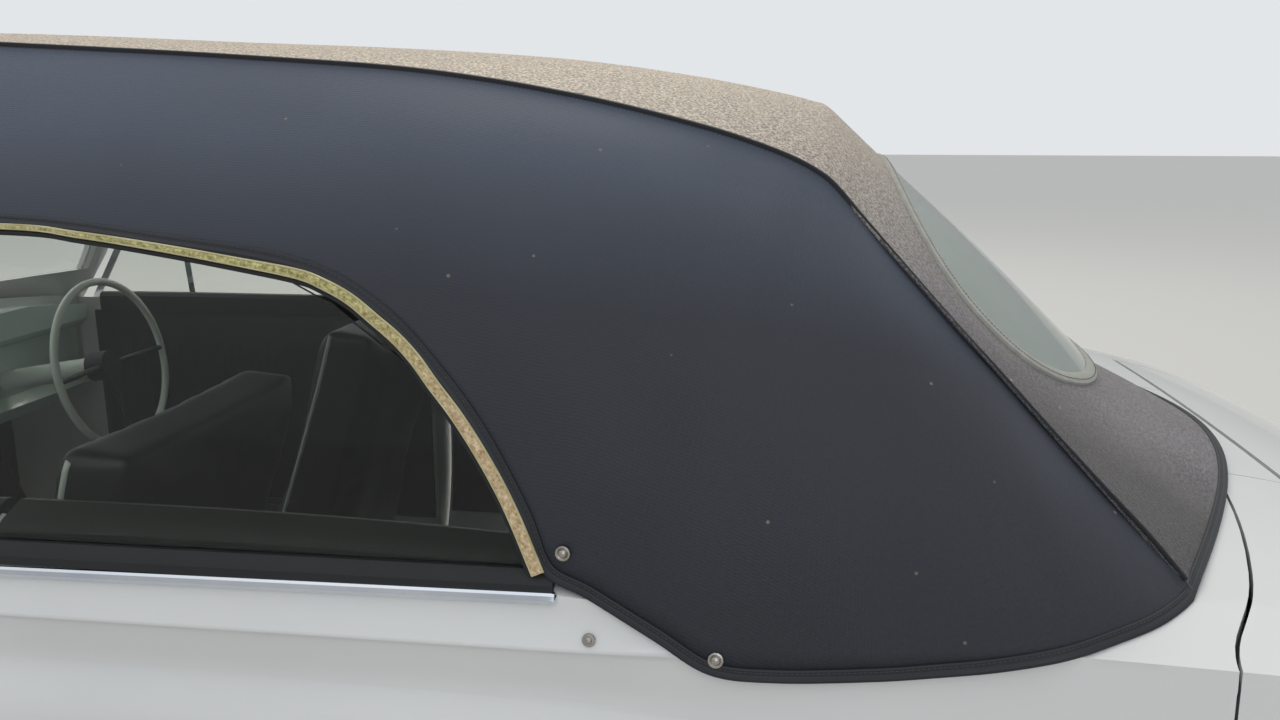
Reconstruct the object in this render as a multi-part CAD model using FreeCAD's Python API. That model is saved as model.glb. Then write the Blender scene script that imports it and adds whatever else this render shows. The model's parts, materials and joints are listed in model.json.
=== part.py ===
"""Two-door, four-seat convertible with its fabric hood up, at full size in millimetres.

+X runs rearward, +Y to the car's right, +Z up. The origin lies on the ground, midway along and across.
"""

import FreeCAD
import Part
import math
import os
from FreeCAD import Vector

# Main sizes of the car
LENGTH = 4460
HALF_WIDTH = 815
WHEELBASE = 2500
REAR_AXLE_X = 1100
TRACK = 1300
FLOOR_Z = 190
BELT_Z = 860
WIDE_Z = 560
SKIN = 22
SHUT_GAP = 6
RUNNING_CLEARANCE = 6

# Wheels and tyres
TYRE_RADIUS = 315
TYRE_WIDTH = 165
RIM_RADIUS = 190
HUB_BORE_RADIUS = 28
STUD_CIRCLE = 114.3
STUD_HOLE_RADIUS = 7
STUD_COUNT = 4
ARCH_RADIUS = 372
KINGPIN_INSET = 50
KINGPIN_RADIUS = 16
PIN_HALF_HEIGHT = 95
PIVOT_GAP = 0.3

# Places along the car
FRONT_AXLE_X = REAR_AXLE_X - WHEELBASE
NOSE_X = -2150
TAIL_X = 2150
COWL_X = -790
DOOR_FRONT_X = -640
DOOR_REAR_X = 270
DOOR_BOTTOM_Z = 285
WING_SEAM_X = 1509
BONNET_FRONT_X = -2025
BONNET_HALF_WIDTH = 560
BOOT_FRONT_X = 1760
BOOT_REAR_X = 2095
BOOT_HALF_WIDTH = 540
WING_JOINT_GAP = 3
WING_INNER_Y = 250

# Cross sections of the body shell
BELT_INSET = 67
CREASE_INSET = 43
SILL_INSET = 115
EDGE_INSET = 127
EDGE_RISE = 24

# Hood, in its raised place
HOOD_SKIN = 12
HOOD_FRONT_X = -300
HOOD_BEND_X = 1146
HOOD_BACK_X = 1735
HOOD_CORNER_X = 1534
HOOD_HALF_WIDTH = 745
HEM_HALF_WIDTH = 776
HEM_Z = 790
SEAM_HALF_WIDTH = 520
ROOF_SIDE_Z = 1395
ROOF_CROWN_RISE = 37
BOW_WIDTH = 30
BOW_DEPTH = 20
BOW_PLACES = (120, 480, 840)
WINDOW_TOP_Z = 1197
WINDOW_TOP_HALF_WIDTH = 690
WINDOW_REAR_X = 870

# Glass
GLASS = 5
GLASS_FIT = 6
GLASS_BASE_HALF_WIDTH = 738
GLASS_LEAN = 8.3
VENT_POST_X = -352
PILLAR_FOOT_X = -648
PILLAR_RAKE = 56
SCREEN_FOOT_Z = 900
SCREEN_SKIN = 34
SCREEN_BORDER = 38

# Front end, bumpers and lamps
LAMP_Y = 610
LAMP_Z = 605
LAMP_RADIUS = 85
LAMP_RIM = 14
TAIL_LAMP_Y = 585
TAIL_LAMP_Z = 530
GRILLE_HALF_WIDTH = 430
GRILLE_LOW_Z = 445
GRILLE_TOP_Z = 600
SLAT_COUNT = 5
BUMPER_Z = 400
BUMPER_HEIGHT = 95
BUMPER_THICKNESS = 14
BUMPER_BOW = 55
BUMPER_WRAP = 110
BUMPER_HALF_WIDTH = 745
SHEET = 8
STRIP_PROUD = 6
HANDLE_Z = 690
HANDLE_RADIUS = 8
HANDLE_PROUD = 8

# Floor and inner panels
KICK_X = 900
AXLE_FLOOR_Z = 440
SHELF_Z = 770
SEAT_STEP_Z = 302
SIDE_WALL_Y = 530
TUNNEL_HALF_WIDTH = 105
TUNNEL_TOP_Z = 335

# Running gear
RAIL_HALF_WIDTH = 355
RAIL_SIZE = 46
DRUM_RADIUS = 115
DISC_Y = 662
ENGINE_HALF_WIDTH = 200
ENGINE_LOW_Z = 300
PIPE_RADIUS = 22
PIPE_Y = -250
CROSS_SIZE = 20
PIPE_Z = FLOOR_Z - CROSS_SIZE - PIPE_RADIUS - RUNNING_CLEARANCE

# Cabin
FLOOR_TOP_Z = FLOOR_Z + SKIN
CABIN_HALF_WIDTH = 690
DOOR_INNER_HALF_WIDTH = 700
SEAT_HALF_WIDTH = 250
SEAT_CENTRE_Y = 372
SEAT_HIP_X = 20
SEAT_TOP_Z = 450
SEAT_BACK_TOP_Z = 950
SEAT_BACK_RAKE = 27
REAR_SEAT_X = 1010
REAR_SEAT_HALF_WIDTH = 490
WHEEL_CENTRE = Vector(-365, 420, 775)
WHEEL_RIM_RADIUS = 182
WHEEL_RIM_SECTION = 8
COLUMN_RAKE = 10
COLUMN_RADIUS = 22
COLUMN_LENGTH = 330
BOSS_LENGTH = 45
DASH_FACE_X = -610
DASH_TOP_Z = 905


def mirrored(shape):
    """The same piece on the car's other side."""
    return shape.mirror(Vector(0, 0, 0), Vector(0, 1, 0))


def box(x0, x1, y0, y1, z0, z1):
    return Part.makeBox(x1 - x0, y1 - y0, z1 - z0, Vector(x0, y0, z0))


def prism_y(points, y0, y1):
    """Outline of (x, z) points, drawn out from y0 to y1."""
    wire = Part.makePolygon([Vector(x, y0, z) for x, z in points + points[:1]])
    return Part.Face(wire).extrude(Vector(0, y1 - y0, 0))


def prism_x(points, x0, x1):
    """Outline of (y, z) points, drawn out from x0 to x1."""
    wire = Part.makePolygon([Vector(x0, y, z) for y, z in points + points[:1]])
    return Part.Face(wire).extrude(Vector(x1 - x0, 0, 0))


def rod(start, end, radius):
    return Part.makeCylinder(radius, (end - start).Length, start, end - start)


def disc_y(x, y0, y1, z, radius):
    """Round solid whose axis runs across the car."""
    return Part.makeCylinder(radius, y1 - y0, Vector(x, y0, z), Vector(0, 1, 0))


def fuse(shapes):
    return shapes[0].multiFuse(shapes[1:]).removeSplitter()


# Body stations from nose to tail. tuck: how much narrower than amidships.
# drop: how far the belt lies below BELT_Z. crown: rise of the centre over the belt.
# rise: underside over FLOOR_Z. sag: widest point below WIDE_Z. flare: belt further out.
# crease: how far the lower crease lies below the belt.
STATION_COLUMNS = ("x", "tuck", "drop", "crown", "rise", "sag", "flare", "crease")
STATIONS = [
    (NOSE_X, 150, 225, 42, 215, 60, 10, 60),
    (NOSE_X + 200, 62, 120, 62, 130, 10, 5, 95),
    (FRONT_AXLE_X, 8, 45, 75, 20, 0, 0, 112),
    (DOOR_FRONT_X - 60, 2, 8, 80, 0, 0, 0, 115),
    (0, 0, 0, 75, 0, 0, 0, 115),
    (REAR_AXLE_X - 300, 0, 4, 65, 0, 0, 4, 114),
    (REAR_AXLE_X + 100, 3, 28, 50, 10, 0, 14, 104),
    (WING_SEAM_X + 40, 20, 42, 40, 60, 0, 28, 100),
    (WING_SEAM_X + 400, 78, 105, 42, 150, 20, 30, 88),
    (TAIL_X, 190, 240, 35, 240, 50, 40, 40),
]


def section(station, inset, x_shift):
    """Closed cross section of the body, drawn in by inset all round."""
    s = dict(zip(STATION_COLUMNS, station))
    x = s["x"] + x_shift
    wide = HALF_WIDTH - s["tuck"]
    belt_z = BELT_Z - s["drop"]
    belt_y = wide - BELT_INSET + s["flare"]
    half = [
        Vector(x, wide - SILL_INSET - 0.7 * inset, FLOOR_Z + s["rise"] + inset),
        Vector(x, wide - inset, WIDE_Z - s["sag"]),
        Vector(x, max(wide - CREASE_INSET, belt_y + 5) - inset, belt_z - s["crease"]),
        Vector(x, belt_y - inset, belt_z - 0.2 * inset),
        Vector(x, wide - EDGE_INSET - 0.6 * inset, belt_z + EDGE_RISE - 0.8 * inset),
    ]
    crown = Vector(x, 0, belt_z + s["crown"] - inset)
    other = [Vector(p.x, -p.y, p.z) for p in half]
    return Part.Wire([
        Part.makeLine(other[0], half[0]),
        Part.Arc(half[0], half[1], half[2]).toShape(),
        Part.makeLine(half[2], half[3]),
        Part.makeLine(half[3], half[4]),
        Part.Arc(half[4], crown, other[4]).toShape(),
        Part.makeLine(other[4], other[3]),
        Part.makeLine(other[3], other[2]),
        Part.Arc(other[2], other[1], other[0]).toShape(),
    ])


def body_solid(inset=0):
    """Filled outer form of the body, or its hollow when drawn in."""
    last = len(STATIONS) - 1
    shifts = [inset if i == 0 else -inset if i == last else 0 for i in range(last + 1)]
    wires = [section(s, inset, shift) for s, shift in zip(STATIONS, shifts)]
    return Part.makeLoft(wires, True, False)


def mirror_outline(half):
    """Closed loop of (x, y) edge pieces from one half: each piece is 2 or 3 points."""
    edges = []
    for points in half:
        ends = [Vector(*p) for p in points]
        edges.append(ends)
    flipped = [[Vector(p.x, -p.y, p.z) for p in reversed(e)] for e in reversed(edges)]
    shapes = []
    for ends in edges + flipped:
        if len(ends) == 2:
            shapes.append(Part.makeLine(ends[0], ends[1]))
        else:
            shapes.append(Part.Arc(*ends).toShape())
    return shapes


def hood_plan(z, side_y, side_end_x, corner, back_x, front_x, inset):
    """Level outline of the hood's rear: straight sides, a turned corner and a bowed back."""
    corner_x, corner_y = corner
    y = side_y - inset
    corner_point = (corner_x - 0.8 * inset, corner_y - 0.6 * inset, z)
    bulge_x = side_end_x + 0.66 * (corner_x - side_end_x)
    bulge_y = corner_y + 0.5 * (side_y - corner_y) - inset * 0.8
    back = back_x - inset
    quarter = (back - 0.24 * (back - corner_point[0]), 0.5 * corner_point[1], z)
    half = [
        [(back, 0, z), quarter, corner_point],
        [corner_point, (bulge_x, bulge_y, z), (side_end_x, y, z)],
        [(side_end_x, y, z), (front_x, y, z)],
        [(front_x, y, z), (front_x, 0, z)],
    ]
    return Part.Wire(mirror_outline(half))


def hood_rear_form(inset):
    """Solid inside the hood's back panel and turned corners, long at the front."""
    front_x = HOOD_FRONT_X - 400
    low = hood_plan(HEM_Z - 60, HEM_HALF_WIDTH + 6, REAR_AXLE_X + 60,
                    (HOOD_CORNER_X + 38, 575), HOOD_BACK_X + 60, front_x, inset)
    high = hood_plan(1450, 640, 560, (950, 505), 1035, front_x, inset)
    return Part.makeLoft([low, high], True, True)


# Hood cross sections. fall: roof below its front height. base, top: half-widths at the
# belt and at the window's top line. slump: how much lower that line sits.
HOOD_COLUMNS = ("x", "fall", "base", "top", "slump")
HOOD_SECTIONS = [
    (DOOR_FRONT_X - 260, -6, HOOD_HALF_WIDTH, WINDOW_TOP_HALF_WIDTH, 0),
    (HOOD_FRONT_X + 600, 12, HOOD_HALF_WIDTH, WINDOW_TOP_HALF_WIDTH, 0),
    (HOOD_BEND_X - 400, 42, HEM_HALF_WIDTH - 8, WINDOW_TOP_HALF_WIDTH + 6, 40),
    (HOOD_BEND_X, 110, HEM_HALF_WIDTH, WINDOW_TOP_HALF_WIDTH, 130),
    (HOOD_BACK_X + 90, 215, HEM_HALF_WIDTH, WINDOW_TOP_HALF_WIDTH - 30, 230),
]


def hood_section(row, inset):
    s = dict(zip(HOOD_COLUMNS, row))
    x = s["x"]
    side_z = ROOF_SIDE_Z - s["fall"]
    half = [
        Vector(x, s["base"] - inset, HEM_Z - 40),
        Vector(x, s["top"] - inset, WINDOW_TOP_Z - s["slump"]),
        Vector(x, SEAM_HALF_WIDTH - 0.5 * inset, side_z - 0.8 * inset),
    ]
    crown = Vector(x, 0, side_z + ROOF_CROWN_RISE - inset)
    other = [Vector(p.x, -p.y, p.z) for p in half]
    return Part.Wire([
        Part.makeLine(other[0], half[0]),
        Part.Arc(half[0], half[1], half[2]).toShape(),
        Part.Arc(half[2], crown, other[2]).toShape(),
        Part.Arc(other[2], other[1], other[0]).toShape(),
    ])


def greenhouse(inset):
    """Filled form of the cabin top, from windscreen to tail, before the back is sloped."""
    return Part.makeLoft([hood_section(row, inset) for row in HOOD_SECTIONS], True, False)


def hood_form(inset):
    return greenhouse(inset).common(hood_rear_form(inset))


def side_glass(points):
    """Flat leaning pane on the right side, trimmed to an (x, z) outline."""
    slab = Part.makeBox(2600, GLASS, 900, Vector(-1300, -GLASS, -100))
    slab.rotate(Vector(0, 0, 0), Vector(1, 0, 0), GLASS_LEAN)
    slab.translate(Vector(0, GLASS_BASE_HALF_WIDTH, BELT_Z))
    return slab.common(prism_y(points, 550, 900))


def window_curve():
    """Rear upper edge of the side window opening, as (x, z) points round its bow."""
    arc = Part.Arc(
        Vector(WINDOW_REAR_X - 543, 0, WINDOW_TOP_Z),
        Vector(WINDOW_REAR_X - 157, 0, WINDOW_TOP_Z - 109),
        Vector(WINDOW_REAR_X, 0, BELT_Z + 4),
    )
    return [(p.x, p.z) for p in arc.discretize(9)]


def shrink(points, amount):
    """The same outline, drawn in toward its middle along x and down from its top."""
    return [(x - amount, z - amount) for x, z in points]


def pillar_x(z):
    """Rear edge of the windscreen pillar, seen from the side, at height z."""
    lift = z - SCREEN_FOOT_Z
    return PILLAR_FOOT_X + SCREEN_BORDER + lift / math.tan(math.radians(PILLAR_RAKE))


OUTER = body_solid()
HOLLOW = body_solid(SKIN)
SHELL = OUTER.cut(HOLLOW)
DEEP = body_solid(SKIN + SHEET)
RIM = OUTER.cut(DEEP)
UNDER = body_solid(SKIN + PIVOT_GAP).cut(DEEP)
HOOD_OUTER = hood_form(0)
HOOD_INNER = hood_form(HOOD_SKIN)


def ledge(panel_side, lid_side):
    """Flange that runs from a fixed panel in under the edge of a lid."""
    return RIM.common(panel_side).fuse(UNDER.common(lid_side))


def arch_cut(axle_x, side):
    """Round wheel opening with its lower gap, through one side of the body."""
    y0, y1 = (395, 900) if side > 0 else (-900, -395)
    round_part = disc_y(axle_x, y0, y1, TYRE_RADIUS, ARCH_RADIUS)
    lower = box(axle_x - ARCH_RADIUS, axle_x + ARCH_RADIUS, y0, y1, 0, TYRE_RADIUS)
    return round_part.fuse(lower)


def door_solid():
    """Right-hand door: outer skin, filled in to the thickness of the whole door."""
    span = box(DOOR_FRONT_X + SHUT_GAP / 2, DOOR_REAR_X - SHUT_GAP / 2,
               DOOR_INNER_HALF_WIDTH, 900, DOOR_BOTTOM_Z, 1000)
    return OUTER.common(span)


def door_glass_outline():
    top = WINDOW_TOP_Z - GLASS_FIT
    low = BELT_Z - 60
    return [(VENT_POST_X + 12, low), (DOOR_REAR_X - SHUT_GAP, low),
            (DOOR_REAR_X - SHUT_GAP, top), (VENT_POST_X + 12, top)]


def vent_outline(border):
    """Quarterlight behind the windscreen pillar, drawn in by border."""
    top = WINDOW_TOP_Z - GLASS_FIT - border
    low = BELT_Z + 8 + border if border else BELT_Z - 10
    return [(pillar_x(low) + 14 + 1.3 * border, low), (VENT_POST_X + 10 - border, low),
            (VENT_POST_X + 10 - border, top), (pillar_x(top) + 14 + 1.3 * border, top)]


def quarter_glass_outline():
    curve = shrink(window_curve(), GLASS_FIT)
    low = BELT_Z - 40
    return [(DOOR_REAR_X + SHUT_GAP, low), (DOOR_REAR_X + SHUT_GAP, curve[0][1])] + curve + [
        (curve[-1][0], low)]


DOOR_GLASS = side_glass(door_glass_outline())
VENT_WHOLE = side_glass(vent_outline(0))
VENT_PANE = side_glass(vent_outline(14))
VENT_FRAME = VENT_WHOLE.cut(VENT_PANE)
QUARTER_GLASS = side_glass(quarter_glass_outline())


def belt_strip(x0, x1):
    """Bright moulding along the belt, standing a little proud of the skin."""
    stretch = OUTER.common(box(x0, x1, 600, 900, BELT_Z - 24, BELT_Z - 12))
    return stretch.translated(Vector(0, STRIP_PROUD, 0)).cut(OUTER)


def door_handle():
    """Pull bar on two posts, whose feet are let into the door."""
    x0, x1, z = DOOR_REAR_X - 160, DOOR_REAR_X - 40, HANDLE_Z
    bar_y = HALF_WIDTH + HANDLE_PROUD
    bar = rod(Vector(x0 - 12, bar_y, z), Vector(x1 + 12, bar_y, z), HANDLE_RADIUS)
    posts = [rod(Vector(x, bar_y - 50, z), Vector(x, bar_y, z), HANDLE_RADIUS - 2) for x in (x0, x1)]
    return fuse([bar] + posts)


def door_pieces():
    """Right-hand door with its glass and its bright trim, as three pieces."""
    strip = belt_strip(DOOR_FRONT_X + 8, DOOR_REAR_X - 8)
    handle = door_handle()
    door = door_solid().cut(DOOR_GLASS).cut(VENT_WHOLE).cut(handle)
    glass = Part.makeCompound([DOOR_GLASS, VENT_PANE])
    trim = Part.makeCompound([VENT_FRAME, strip, handle])
    return door, glass, trim


def hem_cut():
    """Everything below the hood's hem and inside its side windows, drawn across the car."""
    curve = window_curve()
    line = [(HOOD_FRONT_X - 500, 300), (HOOD_FRONT_X - 500, WINDOW_TOP_Z)] + curve + [
        (WINDOW_REAR_X + 16, BELT_Z + 6), (WINDOW_REAR_X + 170, HEM_Z),
        (REAR_AXLE_X + 130, HEM_Z + 3), (HOOD_BACK_X + 300, HEM_Z - 30),
        (HOOD_BACK_X + 300, 300)]
    return prism_y(line, -900, 900)


def rear_window_cut(inset):
    """Wide oval opening through the hood's back, drawn in by inset."""
    z_mid = 1072
    half_z = 148 - inset
    half_y = 470 - inset
    corners = [(half_y * math.copysign(abs(math.cos(a)) ** 0.62, math.cos(a)),
                z_mid + half_z * math.copysign(abs(math.sin(a)) ** 0.8, math.sin(a)))
               for a in (2 * math.pi * i / 28 for i in range(28))]
    return prism_x(corners, HOOD_BEND_X - 60, HOOD_BACK_X + 100)


def soft_top():
    """Fabric cover from the windscreen header back to its hem on the body."""
    cover = HOOD_OUTER.cut(HOOD_INNER).cut(OUTER).cut(hem_cut())
    return cover.cut(rear_window_cut(0)).cut(screen_slab(-400, 400 + SCREEN_SKIN))


def rear_window():
    """Bowed clear pane set in the opening of the hood's back."""
    return hood_form(3).cut(hood_form(8)).common(rear_window_cut(0))


def hood_frame():
    """Three bows across under the fabric and a rail above each side window."""
    outside = hood_form(HOOD_SKIN + 0.3)
    inside = greenhouse(HOOD_SKIN + BOW_DEPTH)
    low = WINDOW_TOP_Z + 8
    blanks = [box(x, x + BOW_WIDTH, -700, 700, low, 1500) for x in BOW_PLACES]
    rail_end = BOW_PLACES[-1] + BOW_WIDTH
    blanks += [box(BOW_PLACES[0] - 330, rail_end, y, y + 500, low, low + 30) for y in (-1000, 500)]
    return fuse([blank.common(outside).cut(inside) for blank in blanks])


def screen_slab(offset, thickness):
    """Upright curved slab that the windscreen is cut from, set back by offset."""
    def loop(z):
        lift = (z - SCREEN_FOOT_Z) / math.tan(math.radians(PILLAR_RAKE))
        x0 = PILLAR_FOOT_X + lift + offset
        bow = 118
        front = Part.Arc(Vector(x0, -720, z), Vector(x0 - bow, 0, z), Vector(x0, 720, z))
        x1 = x0 + thickness
        back = Part.Arc(Vector(x1, 720, z), Vector(x1 - bow, 0, z), Vector(x1, -720, z))
        return Part.Wire([front.toShape(),
                          Part.makeLine(Vector(x0, 720, z), Vector(x1, 720, z)),
                          back.toShape(),
                          Part.makeLine(Vector(x1, -720, z), Vector(x0, -720, z))])
    return Part.makeLoft([loop(760), loop(1500)], True, True)


def windscreen():
    outline = greenhouse(2)
    above = box(-1200, 200, -800, 800, SCREEN_FOOT_Z + 45, 1500)
    opening = greenhouse(2 + SCREEN_BORDER).common(above)
    frame = screen_slab(0, SCREEN_SKIN).common(outline).cut(OUTER).cut(opening)
    pane = screen_slab(SCREEN_SKIN / 2 - 3, 6).common(outline).common(opening)
    return frame, pane


def cabin_cut():
    """Open top of the tub, inside the hood's hem."""
    low = hood_plan(600, CABIN_HALF_WIDTH, REAR_AXLE_X, (HOOD_CORNER_X - 70, 500),
                    HOOD_BACK_X - 90, COWL_X + 160, 0)
    return Part.Face(low).extrude(Vector(0, 0, 500))


# Joint between body and right rear wing, seen from above: across the side, then round the
# outside of the hood's hem toward the middle.
WING_JOINT = [
    (WING_SEAM_X, 757), (WING_SEAM_X + 8, 725), (WING_SEAM_X + 32, 679),
    (WING_SEAM_X + 76, 572), (WING_SEAM_X + 122, 411), (WING_SEAM_X + 155, WING_INNER_Y),
]


def wing_side(shift):
    """Everything behind and outside the right wing's joint, moved out and back by shift."""
    curve = Part.BSplineCurve()
    curve.interpolate([Vector(x + shift, y + shift, 250) for x, y in WING_JOINT])
    start, end = curve.value(curve.FirstParameter), curve.value(curve.LastParameter)
    corners = [end, Vector(TAIL_X + 50, end.y, 250), Vector(TAIL_X + 50, 950, 250),
               Vector(start.x, 950, 250), start]
    edges = [curve.toShape()] + [Part.makeLine(a, b) for a, b in zip(corners, corners[1:])]
    return Part.Face(Part.Wire(edges)).extrude(Vector(0, 0, 950))


def body_tub():
    """Floor, sills, scuttle, side panels round the wheels and the deck round the hood."""
    front_x = COWL_X + SHUT_GAP / 2
    cowl = box(front_x, DOOR_FRONT_X + 10, -900, 900, 0, 1200)
    sill_top = DOOR_BOTTOM_Z - SHUT_GAP
    cowl = cowl.cut(box(front_x, 0, BONNET_HALF_WIDTH, 900, sill_top, 1200))
    cowl = cowl.cut(box(front_x, 0, -900, -BONNET_HALF_WIDTH, sill_top, 1200))
    low = box(front_x, DOOR_REAR_X + 10, -900, 900, 0, sill_top)
    rear = box(DOOR_REAR_X + SHUT_GAP / 2, WING_SEAM_X - WING_JOINT_GAP / 2, -900, 900, 0, 1200)
    deck = box(WING_SEAM_X - 20, BOOT_FRONT_X - SHUT_GAP, -900, 900, 700, 1200)
    wings = wing_side(-WING_JOINT_GAP / 2)
    deck = deck.cut(wings).cut(mirrored(wings))
    tub = SHELL.common(cowl.multiFuse([low, rear, deck])).cut(cabin_cut())
    arches = arch_cut(REAR_AXLE_X, 1).fuse(arch_cut(REAR_AXLE_X, -1))
    tub = tub.cut(arches).cut(QUARTER_GLASS).cut(mirrored(QUARTER_GLASS))
    tub = tub.cut(box(KICK_X, WING_SEAM_X, -SIDE_WALL_Y, SIDE_WALL_Y, 0, AXLE_FLOOR_Z - SHEET))
    w = TUNNEL_HALF_WIDTH + SHEET
    return tub.cut(box(COWL_X - 10, KICK_X + 10, -w, w, 0, FLOOR_TOP_Z + 20))


def tunnel(grow):
    """Raised channel over the propeller shaft, from scuttle to rear floor."""
    w = TUNNEL_HALF_WIDTH + grow
    return box(COWL_X + SHUT_GAP / 2, KICK_X, -w, w, FLOOR_Z, TUNNEL_TOP_Z + grow)


def inner_panels():
    """Sheet steel inside the body: tunnel, fire wall, rear floor, bulkhead and wheelhouses."""
    w = SIDE_WALL_Y
    x = REAR_SEAT_X
    front = COWL_X + SHUT_GAP / 2
    fire_wall = box(front, front + SHEET, -BONNET_HALF_WIDTH - 40, BONNET_HALF_WIDTH + 40,
                    FLOOR_TOP_Z, BELT_Z + 60).common(HOLLOW)
    riser = box(KICK_X, KICK_X + SHEET, -w, w, FLOOR_Z, AXLE_FLOOR_Z)
    floor = box(KICK_X, WING_SEAM_X - SHUT_GAP / 2, -w, w, AXLE_FLOOR_Z - SHEET, AXLE_FLOOR_Z)
    wall = box(x + 240, x + 240 + SHEET, -w, w, AXLE_FLOOR_Z - SHEET, SHELF_Z)
    shelf = box(x + 240, BOOT_FRONT_X - 60, -w, w, SHELF_Z - SHEET, SHELF_Z).common(HOLLOW)
    step = box(x - 420, KICK_X, -w, w, FLOOR_TOP_Z + 0.5, SEAT_STEP_Z)
    step = step.cut(tunnel(0))
    channel = tunnel(SHEET).cut(tunnel(0)).cut(tunnel(0).translated(Vector(0, 0, -20)))
    panels = fuse([fire_wall, riser, floor, wall, shelf, step, channel])
    doorway = box(KICK_X - 1, KICK_X + SHEET + 1, -TUNNEL_HALF_WIDTH, TUNNEL_HALF_WIDTH,
                  FLOOR_Z - 1, TUNNEL_TOP_Z)
    gearbox_hole = box(front - 1, front + SHEET + 1, -TUNNEL_HALF_WIDTH, TUNNEL_HALF_WIDTH,
                       FLOOR_Z - 1, TUNNEL_TOP_Z)
    panels = panels.cut(doorway).cut(gearbox_hole)
    return panels.multiFuse([wheelhouse(1), wheelhouse(-1), seam_ring()])


def wheelhouse(side):
    """Half-round inner arch over a rear wheel, closed on its inner side."""
    span = (SIDE_WALL_Y, HALF_WIDTH)
    y0, y1 = span if side > 0 else (-span[1], -span[0])
    wall_y = y0 if side > 0 else y1 - SHEET
    outer = disc_y(REAR_AXLE_X, y0, y1, TYRE_RADIUS, ARCH_RADIUS + SHEET)
    hollow = disc_y(REAR_AXLE_X, y0, y1, TYRE_RADIUS, ARCH_RADIUS)
    wall = disc_y(REAR_AXLE_X, wall_y, wall_y + SHEET, TYRE_RADIUS, ARCH_RADIUS + 1)
    whole = outer.cut(hollow).fuse(wall)
    under = box(REAR_AXLE_X - 500, REAR_AXLE_X + 500, y0, y1, -200, FLOOR_TOP_Z)
    axle_hole = disc_y(REAR_AXLE_X, y0 - 1, y1 + 1, TYRE_RADIUS, DRUM_RADIUS + 10)
    return whole.cut(under).cut(axle_hole).common(HOLLOW)


def front_wing():
    """Right front wing: side, shoulder and headlamp tube, open round the wheel."""
    wing = SHELL.common(box(NOSE_X - 1, DOOR_FRONT_X - SHUT_GAP / 2, BONNET_HALF_WIDTH + SHUT_GAP / 2,
                            900, DOOR_BOTTOM_Z - 80, 1200))
    lamp = rod(Vector(NOSE_X - 30, LAMP_Y, LAMP_Z), Vector(NOSE_X + 90, LAMP_Y, LAMP_Z),
               LAMP_RADIUS + LAMP_RIM)
    bore = rod(Vector(NOSE_X - 31, LAMP_Y, LAMP_Z), Vector(NOSE_X + 60, LAMP_Y, LAMP_Z), LAMP_RADIUS)
    behind = box(COWL_X, DOOR_FRONT_X + 10, 500, 900, 0, DOOR_BOTTOM_Z)
    return wing.cut(arch_cut(FRONT_AXLE_X, 1)).cut(behind).fuse(lamp).cut(bore)


def rear_wing():
    """Right rear wing, bolted on behind the seam and outside the boot lid."""
    edge = BOOT_HALF_WIDTH + SHUT_GAP / 2
    side = box(WING_SEAM_X - 10, TAIL_X + 1, edge, 900, 300, 1200)
    inner = box(WING_SEAM_X, BOOT_FRONT_X - SHUT_GAP, WING_INNER_Y, edge, 700, 1200)
    return SHELL.common(side.fuse(inner)).common(wing_side(WING_JOINT_GAP / 2))


def bonnet():
    span = box(BONNET_FRONT_X, COWL_X - SHUT_GAP / 2, -BONNET_HALF_WIDTH + SHUT_GAP / 2,
               BONNET_HALF_WIDTH - SHUT_GAP / 2, WIDE_Z + 60, 1200)
    return SHELL.common(span)


def nose_panel():
    """Front face between the wings, with its grille opening."""
    w = BONNET_HALF_WIDTH + SHUT_GAP / 2 - PIVOT_GAP
    span = box(NOSE_X - 1, BONNET_FRONT_X - 2 * SHUT_GAP, -w, w, 0, 1200)
    mouth = box(NOSE_X - 10, NOSE_X + SKIN + 10, -GRILLE_HALF_WIDTH, GRILLE_HALF_WIDTH,
                GRILLE_LOW_Z, GRILLE_TOP_Z)
    panel = SHELL.common(span).cut(mouth)
    for y in (-LAMP_Y, LAMP_Y):
        panel = panel.cut(rod(Vector(NOSE_X - 40, y, LAMP_Z), Vector(NOSE_X + 95, y, LAMP_Z),
                              LAMP_RADIUS + LAMP_RIM + PIVOT_GAP))
    x = BONNET_FRONT_X
    lip = ledge(box(x - 60, x - 2 * SHUT_GAP, -400, 400, WIDE_Z, 1200),
                box(x - 2 * SHUT_GAP, x + 40, -400, 400, WIDE_Z, 1200))
    return panel.fuse(lip)


def grille():
    """Surround and slats standing in the nose opening."""
    x0, x1 = NOSE_X - 8, NOSE_X + SKIN - 4
    w = GRILLE_HALF_WIDTH - PIVOT_GAP
    low = GRILLE_LOW_Z + PIVOT_GAP
    top = GRILLE_TOP_Z - PIVOT_GAP
    frame = box(x0, x1, -w, w, low, top).cut(box(x0, x1, -w + 14, w - 14, low + 12, top - 12))
    pitch = (top - low - 24) / (SLAT_COUNT + 1)
    slats = [box(x0 + 4, x1 - 2, -w + 10, w - 10, low + 12 + pitch * (i + 1) - 3,
                 low + 12 + pitch * (i + 1) + 3) for i in range(SLAT_COUNT)]
    return fuse([frame] + slats)


def boot_cutter(gap):
    """Wedge that takes the boot lid out of the tail, its rear edge square to the slope."""
    lean = 60
    points = [(BOOT_FRONT_X + gap, 1000), (BOOT_FRONT_X + gap, 640),
              (BOOT_REAR_X - gap - 2 * lean, 560), (BOOT_REAR_X - gap + lean, 860)]
    return prism_y(points, -BOOT_HALF_WIDTH + gap, BOOT_HALF_WIDTH - gap)


def boot_lid():
    top_half = box(BOOT_FRONT_X - 100, TAIL_X - 5, -900, 900, WIDE_Z - 60, 1200)
    return SHELL.common(top_half).common(boot_cutter(SHUT_GAP / 2))


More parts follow.
